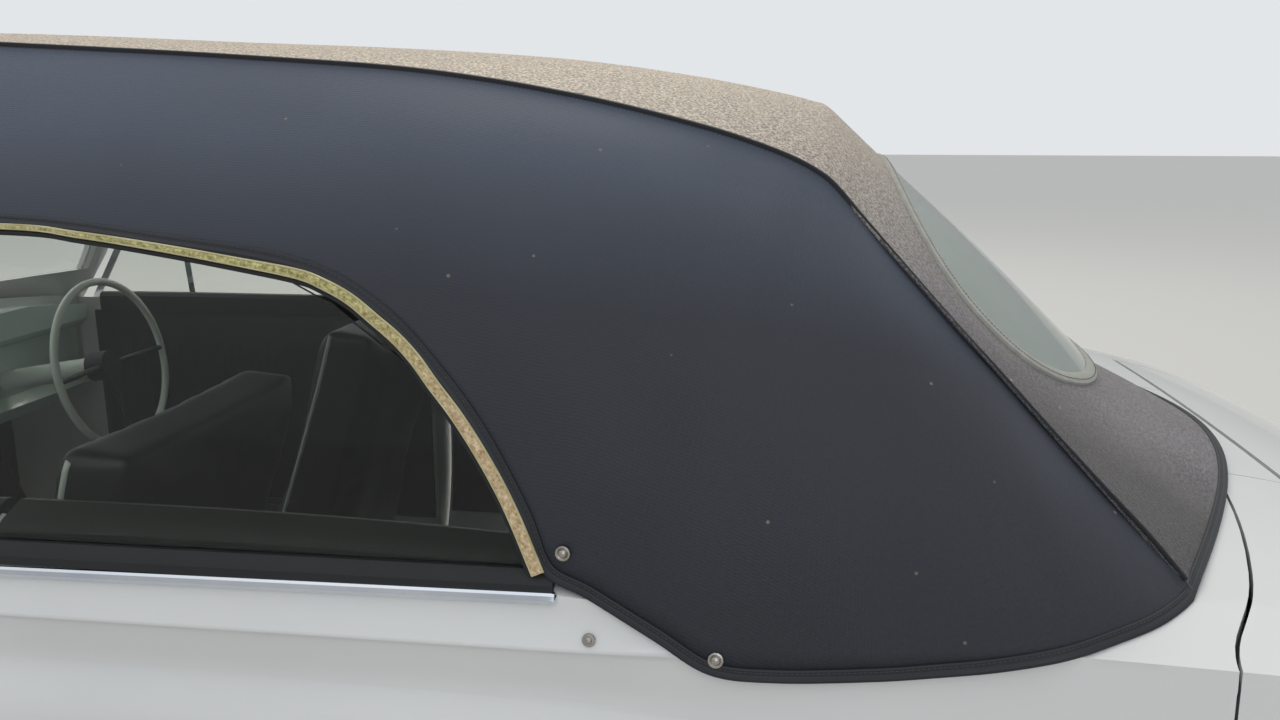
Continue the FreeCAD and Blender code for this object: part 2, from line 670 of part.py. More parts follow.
def tail_panel():
    """Rear face and lower tail between the rear wings, with the boot floor."""
    w = BOOT_HALF_WIDTH + SHUT_GAP / 2 - PIVOT_GAP
    span = box(WING_SEAM_X + SHUT_GAP / 2, TAIL_X + 1, -w, w, 0, 1200)
    deck = box(WING_SEAM_X - 30, BOOT_FRONT_X + 3, -900, 900, 700, 1200)
    panel = SHELL.common(span).cut(boot_cutter(-SHUT_GAP / 2)).cut(deck)
    low = WIDE_Z - 40
    lid_side = box(BOOT_REAR_X - 90, BOOT_REAR_X + 5, -400, 400, low, 1200)
    lip = ledge(lid_side.cut(boot_cutter(-SHUT_GAP / 2 - 1)), lid_side.common(boot_cutter(-20)))
    return panel.fuse(lip)


def seam_ring():
    """Joint flange inside the skin, across the seam in front of the rear wings."""
    span = box(WING_SEAM_X - 30, WING_SEAM_X + 30, -900, 900, WIDE_Z - 150, 1200)
    return UNDER.common(span).cut(cabin_cut())


def bumper(side):
    """Curved blade across one end of the car: side is -1 at the front, 1 at the rear."""
    x_mid = side * (LENGTH / 2)
    x_end = side * (LENGTH / 2 - BUMPER_BOW)
    y = BUMPER_HALF_WIDTH
    inner = side * BUMPER_THICKNESS
    outer_ends = [Vector(x_end, -y, BUMPER_Z), Vector(x_mid, 0, BUMPER_Z), Vector(x_end, y, BUMPER_Z)]
    inner_ends = [v - Vector(inner, 0, 0) for v in outer_ends]
    face = Part.Face(Part.Wire([
        Part.Arc(*outer_ends).toShape(),
        Part.makeLine(outer_ends[2], inner_ends[2]),
        Part.Arc(*inner_ends[::-1]).toShape(),
        Part.makeLine(inner_ends[0], outer_ends[0]),
    ]))
    pieces = [face.extrude(Vector(0, 0, BUMPER_HEIGHT))]
    top = BUMPER_Z + BUMPER_HEIGHT
    for y0 in (-y, y - BUMPER_THICKNESS):
        x0, x1 = sorted((x_end, x_end - side * BUMPER_WRAP))
        pieces.append(box(x0, x1, y0, y0 + BUMPER_THICKNESS, BUMPER_Z, top))
    for y0 in (-RAIL_HALF_WIDTH, RAIL_HALF_WIDTH - 30):
        x0, x1 = sorted((side * TAIL_X, x_mid - inner * 1.6))
        pieces.append(box(x0, x1, y0, y0 + 30, BUMPER_Z + 10, BUMPER_Z + 40))
    return fuse(pieces)


def front_seat():
    """Right front seat: a cushion and a leaning back on a low frame."""
    y0, y1 = SEAT_CENTRE_Y - SEAT_HALF_WIDTH, SEAT_CENTRE_Y + SEAT_HALF_WIDTH
    cushion = prism_y([(SEAT_HIP_X - 480, SEAT_TOP_Z), (SEAT_HIP_X + 20, SEAT_TOP_Z - 35),
                       (SEAT_HIP_X + 20, SEAT_TOP_Z - 150), (SEAT_HIP_X - 470, SEAT_TOP_Z - 150)], y0, y1)
    lean = math.tan(math.radians(SEAT_BACK_RAKE))
    rise = SEAT_BACK_TOP_Z - SEAT_TOP_Z
    back = prism_y([(SEAT_HIP_X + 20 + PIVOT_GAP, SEAT_TOP_Z - 120), (SEAT_HIP_X + lean * rise, SEAT_BACK_TOP_Z),
                    (SEAT_HIP_X + lean * rise + 85, SEAT_BACK_TOP_Z - 12),
                    (SEAT_HIP_X + 140, SEAT_TOP_Z - 130)], y0, y1)
    return cushion, back


def seat_base():
    """Tubular frame under a front seat, standing on the floor."""
    rails = []
    for y in (SEAT_CENTRE_Y - SEAT_HALF_WIDTH + 60, SEAT_CENTRE_Y + SEAT_HALF_WIDTH - 85):
        rails.append(box(SEAT_HIP_X - 440, SEAT_HIP_X + 130, y, y + 25, SEAT_TOP_Z - 175, SEAT_TOP_Z - 150))
        for x in (SEAT_HIP_X - 420, SEAT_HIP_X + 90):
            rails.append(box(x, x + 25, y, y + 25, FLOOR_TOP_Z + 0.5, SEAT_TOP_Z - 160))
    cross = [box(x, x + 25, SEAT_CENTRE_Y - SEAT_HALF_WIDTH + 60, SEAT_CENTRE_Y + SEAT_HALF_WIDTH - 60,
                 SEAT_TOP_Z - 175, SEAT_TOP_Z - 150) for x in (SEAT_HIP_X - 420, SEAT_HIP_X + 90)]
    return fuse(rails + cross)


def rear_seat():
    """Bench with its cushion on the step and its back against the bulkhead."""
    w = REAR_SEAT_HALF_WIDTH
    x = REAR_SEAT_X
    floor = AXLE_FLOOR_Z + 0.3
    outline = [(x - 430, 450), (x - 10, 452), (x + 130, 800), (x + 230, 800), (x + 230, 700),
               (x + 120, floor), (KICK_X - 10, floor), (KICK_X - 10, SEAT_STEP_Z + 0.3),
               (x - 415, SEAT_STEP_Z + 0.3)]
    return prism_y(outline, -w, w).cut(tunnel(SHEET + 5))


def dashboard():
    """Painted fascia: a rolled top over a recess and a lower shelf."""
    w = 672
    x = DASH_FACE_X
    top = DASH_TOP_Z
    dash = prism_y([(x - 90, top), (x, top), (x + 14, top - 18), (x + 14, top - 78), (x, top - 92),
                    (x - 20, top - 100), (x - 20, top - 215), (x + 6, top - 235), (x - 6, top - 262),
                    (x - 90, top - 262)], -w, w)
    screen = screen_slab(-300, 300 + SCREEN_SKIN + PIVOT_GAP)
    dash = dash.cut(SHELL).cut(screen).cut(column_rod(PIVOT_GAP))
    return max(dash.Solids, key=lambda solid: solid.Volume)


def column_axis():
    rake = math.radians(COLUMN_RAKE)
    return Vector(-math.cos(rake), 0, -math.sin(rake))


def column_rod(grow):
    """Fixed steering column, from just below the wheel's boss to the fire wall."""
    start = WHEEL_CENTRE + column_axis() * (5 + BOSS_LENGTH + PIVOT_GAP)
    return rod(start, start + column_axis() * COLUMN_LENGTH, COLUMN_RADIUS + grow)


def steering_wheel():
    """Thin rim, three spokes and a boss about the raked column."""
    along = column_axis()
    rim = Part.makeTorus(WHEEL_RIM_RADIUS, WHEEL_RIM_SECTION, WHEEL_CENTRE, along)
    boss_start = WHEEL_CENTRE + along * 5
    boss = rod(boss_start, boss_start + along * BOSS_LENGTH, 32)
    up = Vector(along.z, 0, -along.x)
    spokes = []
    for angle in (0, 180, 270):
        a = math.radians(angle)
        out = Vector(0, 1, 0) * math.cos(a) + up * math.sin(a)
        spokes.append(rod(boss_start + along * 15, WHEEL_CENTRE + out * WHEEL_RIM_RADIUS, 6))
    return fuse([rim, boss] + spokes)


def controls():
    """Pedals hung from the fire wall, gear lever and hand brake on the tunnel."""
    wall = COWL_X + SHUT_GAP / 2 + SHEET + PIVOT_GAP
    pieces = []
    for y in (WHEEL_CENTRE.y - 110, WHEEL_CENTRE.y + 10, WHEEL_CENTRE.y + 110):
        foot = Vector(wall + 90, y, FLOOR_TOP_Z + 130)
        arm = rod(Vector(wall, y, FLOOR_TOP_Z + 330), foot, 7)
        pad = box(foot.x - 4, foot.x + 6, y - 28, y + 28, foot.z - 30, foot.z + 30)
        pieces.append(arm.fuse(pad).cut(box(wall - 50, wall, 0, 800, 0, 900)))
    top = TUNNEL_TOP_Z + SHEET
    knob = Vector(-330, 0, top + 240)
    pieces.append(rod(Vector(-400, 0, top - 0.5), knob, 7).fuse(Part.makeSphere(20, knob))
                  .cut(box(-500, 0, -80, 80, 0, top)))
    grip = Vector(60, 0, top + 120)
    pieces.append(rod(Vector(-160, 0, top + 6), grip, 11).cut(box(-500, 200, -80, 80, 0, top)))
    return Part.makeCompound(pieces)


def road_wheel():
    """Pressed disc wheel at the right: outer rim, dished disc, hub and nut holes."""
    y = TRACK / 2
    rim = disc_y(0, y - TYRE_WIDTH / 2 + 20, y + TYRE_WIDTH / 2 - 20, 0, RIM_RADIUS)
    rim = rim.cut(disc_y(0, y - TYRE_WIDTH, y + TYRE_WIDTH, 0, RIM_RADIUS - 12))
    disc = disc_y(0, DISC_Y, DISC_Y + 12, 0, RIM_RADIUS - 8)
    cap = disc_y(0, DISC_Y + 12, DISC_Y + 36, 0, HUB_BORE_RADIUS + 14)
    disc = disc.cut(disc_y(0, y, y + 30, 0, HUB_BORE_RADIUS))
    for i in range(STUD_COUNT):
        a = 2 * math.pi * (i + 0.5) / STUD_COUNT
        r = STUD_CIRCLE / 2
        hole = disc_y(r * math.cos(a), y, y + TYRE_WIDTH / 2, r * math.sin(a), STUD_HOLE_RADIUS)
        disc = disc.cut(hole)
    return rim.fuse(disc), cap


def tyre():
    y = TRACK / 2
    half = TYRE_WIDTH / 2
    shoulder = 26
    profile = [Vector(0, y - half + 14, RIM_RADIUS), Vector(0, y - half, RIM_RADIUS + 60),
               Vector(0, y - half + 10, TYRE_RADIUS - shoulder), Vector(0, y - half + 30, TYRE_RADIUS),
               Vector(0, y + half - 30, TYRE_RADIUS), Vector(0, y + half - 10, TYRE_RADIUS - shoulder),
               Vector(0, y + half, RIM_RADIUS + 60), Vector(0, y + half - 14, RIM_RADIUS)]
    face = Part.Face(Part.makePolygon(profile + profile[:1]))
    return face.revolve(Vector(0, 0, 0), Vector(0, 1, 0), 360)


def at_axle(shape, axle_x):
    return shape.translated(Vector(axle_x, 0, TYRE_RADIUS))


def knuckle():
    """Right front knuckle: upright on the kingpin, stub axle with its drum, steering arm."""
    y = TRACK / 2 - KINGPIN_INSET
    pin = Part.makeCylinder(KINGPIN_RADIUS, 2 * PIN_HALF_HEIGHT, Vector(0, y, -PIN_HALF_HEIGHT))
    stub = disc_y(0, y - 10, DISC_Y - 40, 0, 26)
    drum = disc_y(0, DISC_Y - 44, DISC_Y - PIVOT_GAP, 0, DRUM_RADIUS - 30)
    arm = box(0, 130, y - 30, y - 6, -70, -54)
    link = box(-14, 14, y - 30, y + 14, -72, -50)
    return fuse([pin, stub, drum, arm, link])


def front_suspension():
    """Cross member with upper and lower arms out to each kingpin."""
    y = TRACK / 2 - KINGPIN_INSET
    x = FRONT_AXLE_X
    z = TYRE_RADIUS
    base = FLOOR_Z - 1
    pieces = [box(x - 60, x + 60, -330, 330, base, base + 60)]
    reach = PIN_HALF_HEIGHT + PIVOT_GAP
    for side in (1, -1):
        y0, y1 = sorted((side * 300, side * (y + 20)))
        pieces.append(box(x - 22, x + 22, y0, y1, z - reach - 20, z - reach))
        pieces.append(box(x - 22, x + 22, y0, y1, z + reach, z + reach + 20))
        y0, y1 = sorted((side * 300, side * 330))
        pieces.append(box(x - 60, x + 60, y0, y1, base, z + reach + 20))
    return pieces


def chassis():
    """Long members from the front bumper to the tail, with cross members and suspension."""
    top = FLOOR_Z - 1
    low = top - RAIL_SIZE
    r = RAIL_HALF_WIDTH
    high = AXLE_FLOOR_Z - SHEET - 0.3
    pieces = front_suspension()
    for y in (-r - RAIL_SIZE / 2, r - RAIL_SIZE / 2):
        y1 = y + RAIL_SIZE
        pieces.append(box(NOSE_X + 60, KICK_X, y, y1, low, top))
        riser = box(NOSE_X + 60, NOSE_X + 60 + RAIL_SIZE, y, y1, low, BUMPER_Z + 60)
        pieces.append(riser.cut(OUTER))
        pieces.append(box(KICK_X - RAIL_SIZE, KICK_X + 40, y, y1, low, top))
        pieces.append(box(KICK_X + 10, KICK_X + 10 + RAIL_SIZE, y, y1, low, high))
        pieces.append(box(KICK_X + 10, WING_SEAM_X - 40, y, y1, high - RAIL_SIZE, high))
    for x in (NOSE_X + 120, COWL_X, 100):
        pieces.append(box(x, x + RAIL_SIZE, -r, r, top - CROSS_SIZE, top))
    pieces.append(box(WING_SEAM_X - 120, WING_SEAM_X - 70, -r, r, high - RAIL_SIZE, high))
    return fuse(pieces)


def exhaust_pipe(radius):
    """Down from the engine's side, back under the floor and up under the tail."""
    corners = [Vector(FRONT_AXLE_X + 250, PIPE_Y, ENGINE_LOW_Z + 60),
               Vector(FRONT_AXLE_X + 250, PIPE_Y, PIPE_Z), Vector(REAR_AXLE_X + 150, PIPE_Y, PIPE_Z),
               Vector(TAIL_X - 20, PIPE_Y, PIPE_Z + 165)]
    runs = [rod(a, b, radius) for a, b in zip(corners, corners[1:])]
    balls = [Part.makeSphere(radius, c) for c in corners[:-1]]
    return runs[0].multiFuse(runs[1:] + balls)


def exhaust():
    pipe = exhaust_pipe(PIPE_RADIUS)
    flange = Vector(FRONT_AXLE_X + 250, PIPE_Y, ENGINE_LOW_Z + 60)
    branch = rod(flange, Vector(flange.x, -ENGINE_HALF_WIDTH, flange.z), PIPE_RADIUS)
    silencer = rod(Vector(300, PIPE_Y, PIPE_Z), Vector(760, PIPE_Y, PIPE_Z), 44)
    hanger = box(500, 520, PIPE_Y - 8, PIPE_Y + 8, PIPE_Z, FLOOR_Z)
    return pipe.multiFuse([branch, silencer, hanger])


def engine():
    """Closed block for the engine and gearbox, with its mounts on the cross member."""
    w = ENGINE_HALF_WIDTH
    x = FRONT_AXLE_X
    block = box(x - 190, COWL_X - 90, -w, w, ENGINE_LOW_Z, 690)
    mounts = [box(x - 40, x + 40, y, y + 60, FLOOR_Z + 59, ENGINE_LOW_Z) for y in (-w, w - 60)]
    gearbox = box(COWL_X - 90, COWL_X - 10, -80, 80, ENGINE_LOW_Z - 40, ENGINE_LOW_Z + 130)
    tail = box(COWL_X - 10, -350, -70, 70, ENGINE_LOW_Z - 60, TUNNEL_TOP_Z - 8)
    return fuse([block, gearbox, tail] + mounts)


def rear_axle():
    """Live axle with its case, drums, springs, arms and propeller shaft."""
    x = REAR_AXLE_X
    z = TYRE_RADIUS
    end = DISC_Y - 44
    pieces = [disc_y(x, -end, end, z, 32)]
    case = Part.makeSphere(98, Vector(x, 0, z))
    pieces.append(case)
    for side in (1, -1):
        y0, y1 = sorted((side * end, side * (DISC_Y - PIVOT_GAP)))
        pieces.append(disc_y(x, y0, y1, z, DRUM_RADIUS - 30))
        pieces.append(Part.makeCylinder(42, AXLE_FLOOR_Z - SHEET - 0.3 - z, Vector(x, side * 440, z)))
        pieces.append(rod(Vector(x, side * 440, z - 25), Vector(KICK_X + 8.3, side * 440, z - 25), 16))
    shaft = rod(Vector(-349, 0, ENGINE_LOW_Z - 20), Vector(x - 60, 0, z - 10), 28)
    return fuse(pieces + [shaft])


def fuel_tank():
    """Welded tank standing on the rear floor behind the bulkhead."""
    return box(REAR_SEAT_X + 265, WING_SEAM_X - 40, -420, 420, AXLE_FLOOR_Z + 0.3, AXLE_FLOOR_Z + 200)


def headlamp():
    return rod(Vector(NOSE_X - 18, LAMP_Y, LAMP_Z), Vector(NOSE_X + 60, LAMP_Y, LAMP_Z),
               LAMP_RADIUS - 0.3)


def tail_lamp():
    """Round lens standing on the flat rear end of a wing."""
    return rod(Vector(TAIL_X, TAIL_LAMP_Y, TAIL_LAMP_Z), Vector(TAIL_X + 22, TAIL_LAMP_Y, TAIL_LAMP_Z), 30)


def pair(shape):
    """One node that holds the piece of both sides."""
    return Part.makeCompound([shape, mirrored(shape)])


parts = {}
parts["body_tub"] = body_tub()
parts["inner_panels"] = inner_panels()
parts["front_wings"] = pair(front_wing())
parts["rear_wings"] = pair(rear_wing())
parts["bonnet"] = bonnet()
parts["nose_panel"] = nose_panel()
parts["grille"] = grille()
parts["boot_lid"] = boot_lid()
parts["tail_panel"] = tail_panel()
parts["bumper_front"] = bumper(-1)
parts["bumper_rear"] = bumper(1)
parts["headlamps"] = pair(headlamp())
parts["tail_lamps"] = pair(tail_lamp())
parts["soft_top"] = soft_top()
parts["hood_frame"] = hood_frame()
parts["rear_window"] = rear_window()
parts["windscreen_frame"], parts["windscreen_glass"] = windscreen()
door, door_glass, door_trim = door_pieces()
parts["door_right"] = door
parts["door_glass_right"] = door_glass
parts["door_trim_right"] = door_trim
parts["quarter_glass"] = pair(QUARTER_GLASS)
parts["quarter_strips"] = pair(belt_strip(DOOR_REAR_X + 8, WINDOW_REAR_X + 13))
cushion, back = front_seat()
parts["seat_cushions"] = pair(cushion)
parts["seat_backs"] = pair(back)
parts["seat_bases"] = pair(seat_base())
parts["rear_seat"] = rear_seat()
parts["dashboard"] = dashboard()
parts["steering_wheel"] = steering_wheel()
parts["steering_column"] = column_rod(0)
parts["controls"] = controls()
rim, cap = road_wheel()
for end, axle_x in (("front", FRONT_AXLE_X), ("rear", REAR_AXLE_X)):
    parts[f"wheel_{end}_right"] = at_axle(rim.fuse(cap), axle_x)
    parts[f"tyre_{end}_right"] = at_axle(tyre(), axle_x)
parts["knuckle_right"] = at_axle(knuckle(), FRONT_AXLE_X)
parts["chassis"] = chassis()
parts["rear_axle"] = rear_axle()
parts["engine"] = engine()
parts["exhaust"] = exhaust()
parts["fuel_tank"] = fuel_tank()
for node in [n for n in parts if n.endswith("_right")]:
    parts[node.replace("_right", "_left")] = mirrored(parts[node])

os.makedirs("parts", exist_ok=True)
for node, shape in parts.items():
    print(node, "valid" if shape.isValid() else "NOT VALID", len(shape.Solids), round(shape.Volume / 1e6, 2))
    shape.exportStep(f"parts/{node}.step")
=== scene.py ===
import json
import math

import bmesh
import bpy
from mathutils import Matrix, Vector
from mathutils.geometry import delaunay_2d_cdt

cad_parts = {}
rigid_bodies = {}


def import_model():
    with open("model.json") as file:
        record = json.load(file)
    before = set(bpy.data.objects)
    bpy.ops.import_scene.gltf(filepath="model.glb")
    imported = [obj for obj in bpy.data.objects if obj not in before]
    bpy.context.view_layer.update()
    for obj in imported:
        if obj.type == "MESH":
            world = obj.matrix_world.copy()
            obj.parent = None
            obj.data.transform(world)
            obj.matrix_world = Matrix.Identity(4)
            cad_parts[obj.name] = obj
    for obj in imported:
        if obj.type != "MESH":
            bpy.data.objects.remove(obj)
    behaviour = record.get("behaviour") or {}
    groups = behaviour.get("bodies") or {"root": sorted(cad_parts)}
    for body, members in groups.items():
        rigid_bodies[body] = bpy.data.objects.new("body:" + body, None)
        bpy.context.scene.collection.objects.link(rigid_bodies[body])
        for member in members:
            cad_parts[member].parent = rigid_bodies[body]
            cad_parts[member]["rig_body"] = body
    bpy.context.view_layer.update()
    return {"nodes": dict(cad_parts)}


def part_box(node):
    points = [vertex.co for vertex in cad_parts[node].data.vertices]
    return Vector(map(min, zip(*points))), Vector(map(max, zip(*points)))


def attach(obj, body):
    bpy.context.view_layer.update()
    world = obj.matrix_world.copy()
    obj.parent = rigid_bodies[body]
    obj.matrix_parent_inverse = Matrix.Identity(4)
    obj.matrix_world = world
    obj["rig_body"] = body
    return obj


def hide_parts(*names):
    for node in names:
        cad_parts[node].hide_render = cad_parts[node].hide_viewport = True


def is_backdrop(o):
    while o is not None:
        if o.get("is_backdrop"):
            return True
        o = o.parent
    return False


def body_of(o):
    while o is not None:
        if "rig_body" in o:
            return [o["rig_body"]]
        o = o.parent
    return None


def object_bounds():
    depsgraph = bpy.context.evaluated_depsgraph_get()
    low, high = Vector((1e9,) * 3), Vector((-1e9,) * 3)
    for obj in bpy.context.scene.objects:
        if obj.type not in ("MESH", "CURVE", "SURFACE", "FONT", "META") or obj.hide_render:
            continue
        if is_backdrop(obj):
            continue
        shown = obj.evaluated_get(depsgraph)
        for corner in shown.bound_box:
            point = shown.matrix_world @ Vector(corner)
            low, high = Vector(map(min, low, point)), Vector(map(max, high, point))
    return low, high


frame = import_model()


# Camera: beside the car's left rear quarter, at standing eye height, looking across and a
# little down. It sees 1280 x 720.
PHOTO_WIDTH = 1280
FOCAL_PIXELS = 1069
SENSOR_WIDTH = 36
CAMERA_SPOT = (1.100, -1.69, 1.30)
CAMERA_DIP = math.radians(12.7)
CAMERA_TURN = math.radians(8)
camera_data = bpy.data.cameras.new("camera")
camera_data.sensor_width = SENSOR_WIDTH
camera_data.lens = SENSOR_WIDTH * FOCAL_PIXELS / PHOTO_WIDTH
camera_data.clip_start = 0.05


def added(name, data):
    """New object in the scene."""
    thing = bpy.data.objects.new(name, data)
    bpy.context.scene.collection.objects.link(thing)
    return thing


camera = added("camera", camera_data)
camera.location = CAMERA_SPOT
camera.rotation_euler = (math.pi / 2 - CAMERA_DIP, 0, CAMERA_TURN)
bpy.context.scene.camera = camera
bpy.context.scene.view_settings.view_transform = "Standard"


# Studio: pale painted floor under soft even light, with one large lamp high behind the car
# so that its top is brighter than its side, as out of doors.
FLOOR_COLOUR = "#CAC9C5"
AIR_COLOUR = "#EEF1F4"
HORIZON_STRENGTH = 0.40
ZENITH_STRENGTH = 1.18
BACKDROP_STRENGTH = 0.9
FLOOR_HALF = 40
KEY_WATTS = 300
FILL_WATTS = 60


def linear(colour):
    """sRGB hex colour as the linear numbers that a shader socket takes."""
    parts = [int(colour[i:i + 2], 16) / 255 for i in (1, 3, 5)]
    return [c / 12.92 if c <= 0.04045 else ((c + 0.055) / 1.055) ** 2.4 for c in parts] + [1.0]


def add_node(tree, kind, inputs=None, **settings):
    """Adds one node with its settings and its socket values or links, and returns it."""
    node = tree.nodes.new(kind)
    for key, value in settings.items():
        setattr(node, key, value)
    for key, value in (inputs or {}).items():
        if isinstance(value, bpy.types.NodeSocket):
            tree.links.new(value, node.inputs[key])
        else:
            node.inputs[key].default_value = value
    return node


def finish(name, **values):
    """New material with one shader, and constant numbers or colours on its sockets."""
    material = bpy.data.materials.new(name)
    material.use_nodes = True
    shader = material.node_tree.nodes["Principled BSDF"]
    for key, value in values.items():
        shader.inputs[key.replace("_", " ")].default_value = value
    return material, material.node_tree, shader


def tones(tree, share, dark, light):
    """Colour between two, each a hex tone or a socket."""
    dark, light = (linear(t) if isinstance(t, str) else t for t in (dark, light))
    return add_node(tree, "ShaderNodeMix", {0: share, 6: dark, 7: light},
                    data_type="RGBA").outputs[2]


def ranged(tree, value, from_min=0.0, from_max=1.0, to_min=0.0, to_max=1.0):
    """Value carried from one range into another, and held at its ends."""
    return add_node(tree, "ShaderNodeMapRange", {"Value": value, "From Min": from_min,
                                                 "From Max": from_max, "To Min": to_min,
                                                 "To Max": to_max}).outputs[0]


def maths(tree, operation, a, b=0.5, **settings):
    """Result of one sum on one or two values."""
    return add_node(tree, "ShaderNodeMath", {0: a, 1: b}, operation=operation,
                    **settings).outputs[0]


def surface(tree, shader, colour, normal=None, rough=None):
    """Links a shader's colour and, where given, its normal and roughness."""
    for title, socket in (("Base Color", colour), ("Normal", normal), ("Roughness", rough)):
        if socket:
            tree.links.new(socket, shader.inputs[title])


# Matt floor paint with a faint, broad cloudiness.
floor_paint, tree, shader = finish("floor_paint", Roughness=0.75)
grain = add_node(tree, "ShaderNodeTexNoise", {"Scale": 3.0, "Detail": 3.0})
surface(tree, shader, tones(tree, grain.outputs["Fac"], "#C6C5C1", FLOOR_COLOUR))
floor_mesh = bpy.data.meshes.new("floor")
floor_mesh.from_pydata([(x * FLOOR_HALF, y * FLOOR_HALF, 0)
                        for x, y in ((-1, -1), (1, -1), (1, 1), (-1, 1))], [], [(0, 1, 2, 3)])
floor_mesh.materials.append(floor_paint)
floor = added("floor", floor_mesh)
floor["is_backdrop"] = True

world = bpy.data.worlds.new("studio_air")
world.use_nodes = True
tree = world.node_tree
air = tree.nodes["Background"]
rays = add_node(tree, "ShaderNodeLightPath")
seen = maths(tree, "MAXIMUM", rays.outputs["Is Camera Ray"], rays.outputs["Is Transmission Ray"])
way = add_node(tree, "ShaderNodeTexCoord").outputs["Generated"]
height = add_node(tree, "ShaderNodeSeparateXYZ", {0: way}).outputs["Z"]
dome = ranged(tree, height, to_min=HORIZON_STRENGTH, to_max=ZENITH_STRENGTH)
power = add_node(tree, "ShaderNodeMix", {0: seen, 2: dome, 3: BACKDROP_STRENGTH})
air.inputs["Color"].default_value = linear(AIR_COLOUR)
tree.links.new(power.outputs[0], air.inputs["Strength"])
bpy.context.scene.world = world


def soft_lamp(name, place, target, size, watts, colour):
    """Round lamp, size metres wide, that looks from its place at a target."""
    data = bpy.data.lights.new(name, "AREA")
    data.shape = "DISK"
    data.size = size
    data.energy = watts
    data.color = linear(colour)[:3]
    lamp = added(name, data)
    lamp.location = place
    lamp.rotation_euler = (Vector(target) - Vector(place)).to_track_quat("-Z", "Y").to_euler()


soft_lamp("key_lamp", (0.3, 6.5, 9.0), (0.6, 0, 1.0), 5.0, KEY_WATTS, "#FFF6E8")
soft_lamp("fill_lamp", (2.5, -6.0, 3.5), (0.6, 0, 0.8), 4.0, FILL_WATTS, "#EAF1FF")


# Body shell: pressed steel panels, welded, hung and bolted together, sprayed in white enamel.
# The skin between door line and belt has two soft swage lines.
# Half sections as on the drawing board: x, then metres of tuck, belt drop, crown, sill rise,
# sag of the widest line, belt flare, and depth of the lower swage line under the belt.
HALF_WIDTH = 0.815
BELT_Z = 0.860
WIDE_Z = 0.560
SILL_Z = 0.190
SILL_IN, CREASE_IN, BELT_IN, EDGE_IN = 0.115, 0.043, 0.067, 0.127
EDGE_RISE = 0.024
BODY_STATIONS = (
    (-2.150, 0.150, 0.225, 0.042, 0.215, 0.060, 0.010, 0.060),
    (-1.950, 0.062, 0.120, 0.062, 0.130, 0.010, 0.005, 0.095),
    (-1.400, 0.008, 0.045, 0.075, 0.020, 0.000, 0.000, 0.112),
    (-0.700, 0.002, 0.008, 0.080, 0.000, 0.000, 0.000, 0.115),
    (0.000, 0.000, 0.000, 0.075, 0.000, 0.000, 0.000, 0.115),
    (0.800, 0.000, 0.004, 0.065, 0.000, 0.000, 0.004, 0.114),
    (1.200, 0.003, 0.028, 0.050, 0.010, 0.000, 0.014, 0.104),
    (1.549, 0.020, 0.042, 0.040, 0.060, 0.000, 0.028, 0.100),
    (1.909, 0.078, 0.105, 0.042, 0.150, 0.020, 0.030, 0.088),
    (2.150, 0.190, 0.240, 0.035, 0.240, 0.050, 0.040, 0.040),
)


def natural_bends(xs, ys):
    """Second derivatives of the natural cubic spline through (xs, ys)."""
    n = len(xs)
    upper, right = [0.0] * n, [0.0] * n
    for i in range(1, n - 1):
        h0, h1 = xs[i] - xs[i - 1], xs[i + 1] - xs[i]
        pivot = 2 * (h0 + h1) - h0 * upper[i - 1]
        upper[i] = h1 / pivot
        rise = 6 * ((ys[i + 1] - ys[i]) / h1 - (ys[i] - ys[i - 1]) / h0)
        right[i] = (rise - h0 * right[i - 1]) / pivot
    bends = [0.0] * n
    for i in range(n - 2, 0, -1):
        bends[i] = right[i] - upper[i] * bends[i + 1]
    return bends


STATION_X = [row[0] for row in BODY_STATIONS]
STATION_BENDS = [natural_bends(STATION_X, [row[k] for row in BODY_STATIONS]) for k in range(1, 8)]


def station_at(x):
    """Section numbers of the body at x, between its stations."""
    x = min(max(x, STATION_X[0]), STATION_X[-1])
    i = max(k for k in range(len(STATION_X) - 1) if STATION_X[k] <= x)
    h = STATION_X[i + 1] - STATION_X[i]
    a, b = (STATION_X[i + 1] - x) / h, (x - STATION_X[i]) / h
    return [a * BODY_STATIONS[i][k] + b * BODY_STATIONS[i + 1][k]
            + ((a ** 3 - a) * bends[i] + (b ** 3 - b) * bends[i + 1]) * h * h / 6
            for k, bends in enumerate(STATION_BENDS, 1)]


def circle_through(p, q, r):
    """Centre and radius of the circle through three (y, z) points."""
    (ax, ay), (bx, by), (cx, cy) = p, q, r
    d = 2 * (ax * (by - cy) + bx * (cy - ay) + cx * (ay - by))
    a2, b2, c2 = ax * ax + ay * ay, bx * bx + by * by, cx * cx + cy * cy
    ux = (a2 * (by - cy) + b2 * (cy - ay) + c2 * (ay - by)) / d
    uy = (a2 * (cx - bx) + b2 * (ax - cx) + c2 * (bx - ax)) / d
    return ux, uy, math.hypot(ax - ux, ay - uy)


def body_lines(x):
    """Corner points (y, z) of the half section at x: sill, widest, crease, belt, edge, crown."""
    tuck, drop, crown, rise, sag, flare, crease = station_at(x)
    wide = HALF_WIDTH - tuck
    belt_z = BELT_Z - drop
    belt_y = wide - BELT_IN + flare
    return ((wide - SILL_IN, SILL_Z + rise), (wide, WIDE_Z - sag),
            (max(wide - CREASE_IN, belt_y + 0.005), belt_z - crease), (belt_y, belt_z),
            (wide - EDGE_IN, belt_z + EDGE_RISE), (0.0, belt_z + crown))


def flank_y(x, z):
    """Half-width of the body's side at height z, from the sill up to the belt."""
    sill, widest, crease, belt = body_lines(x)[:4]
    if z >= crease[1]:
        f = min((z - crease[1]) / (belt[1] - crease[1]), 1.0)
        return crease[0] + f * (belt[0] - crease[0])
    cy, cz, r = circle_through(sill, widest, crease)
    return cy + math.sqrt(max(r * r - (z - cz) ** 2, 0))


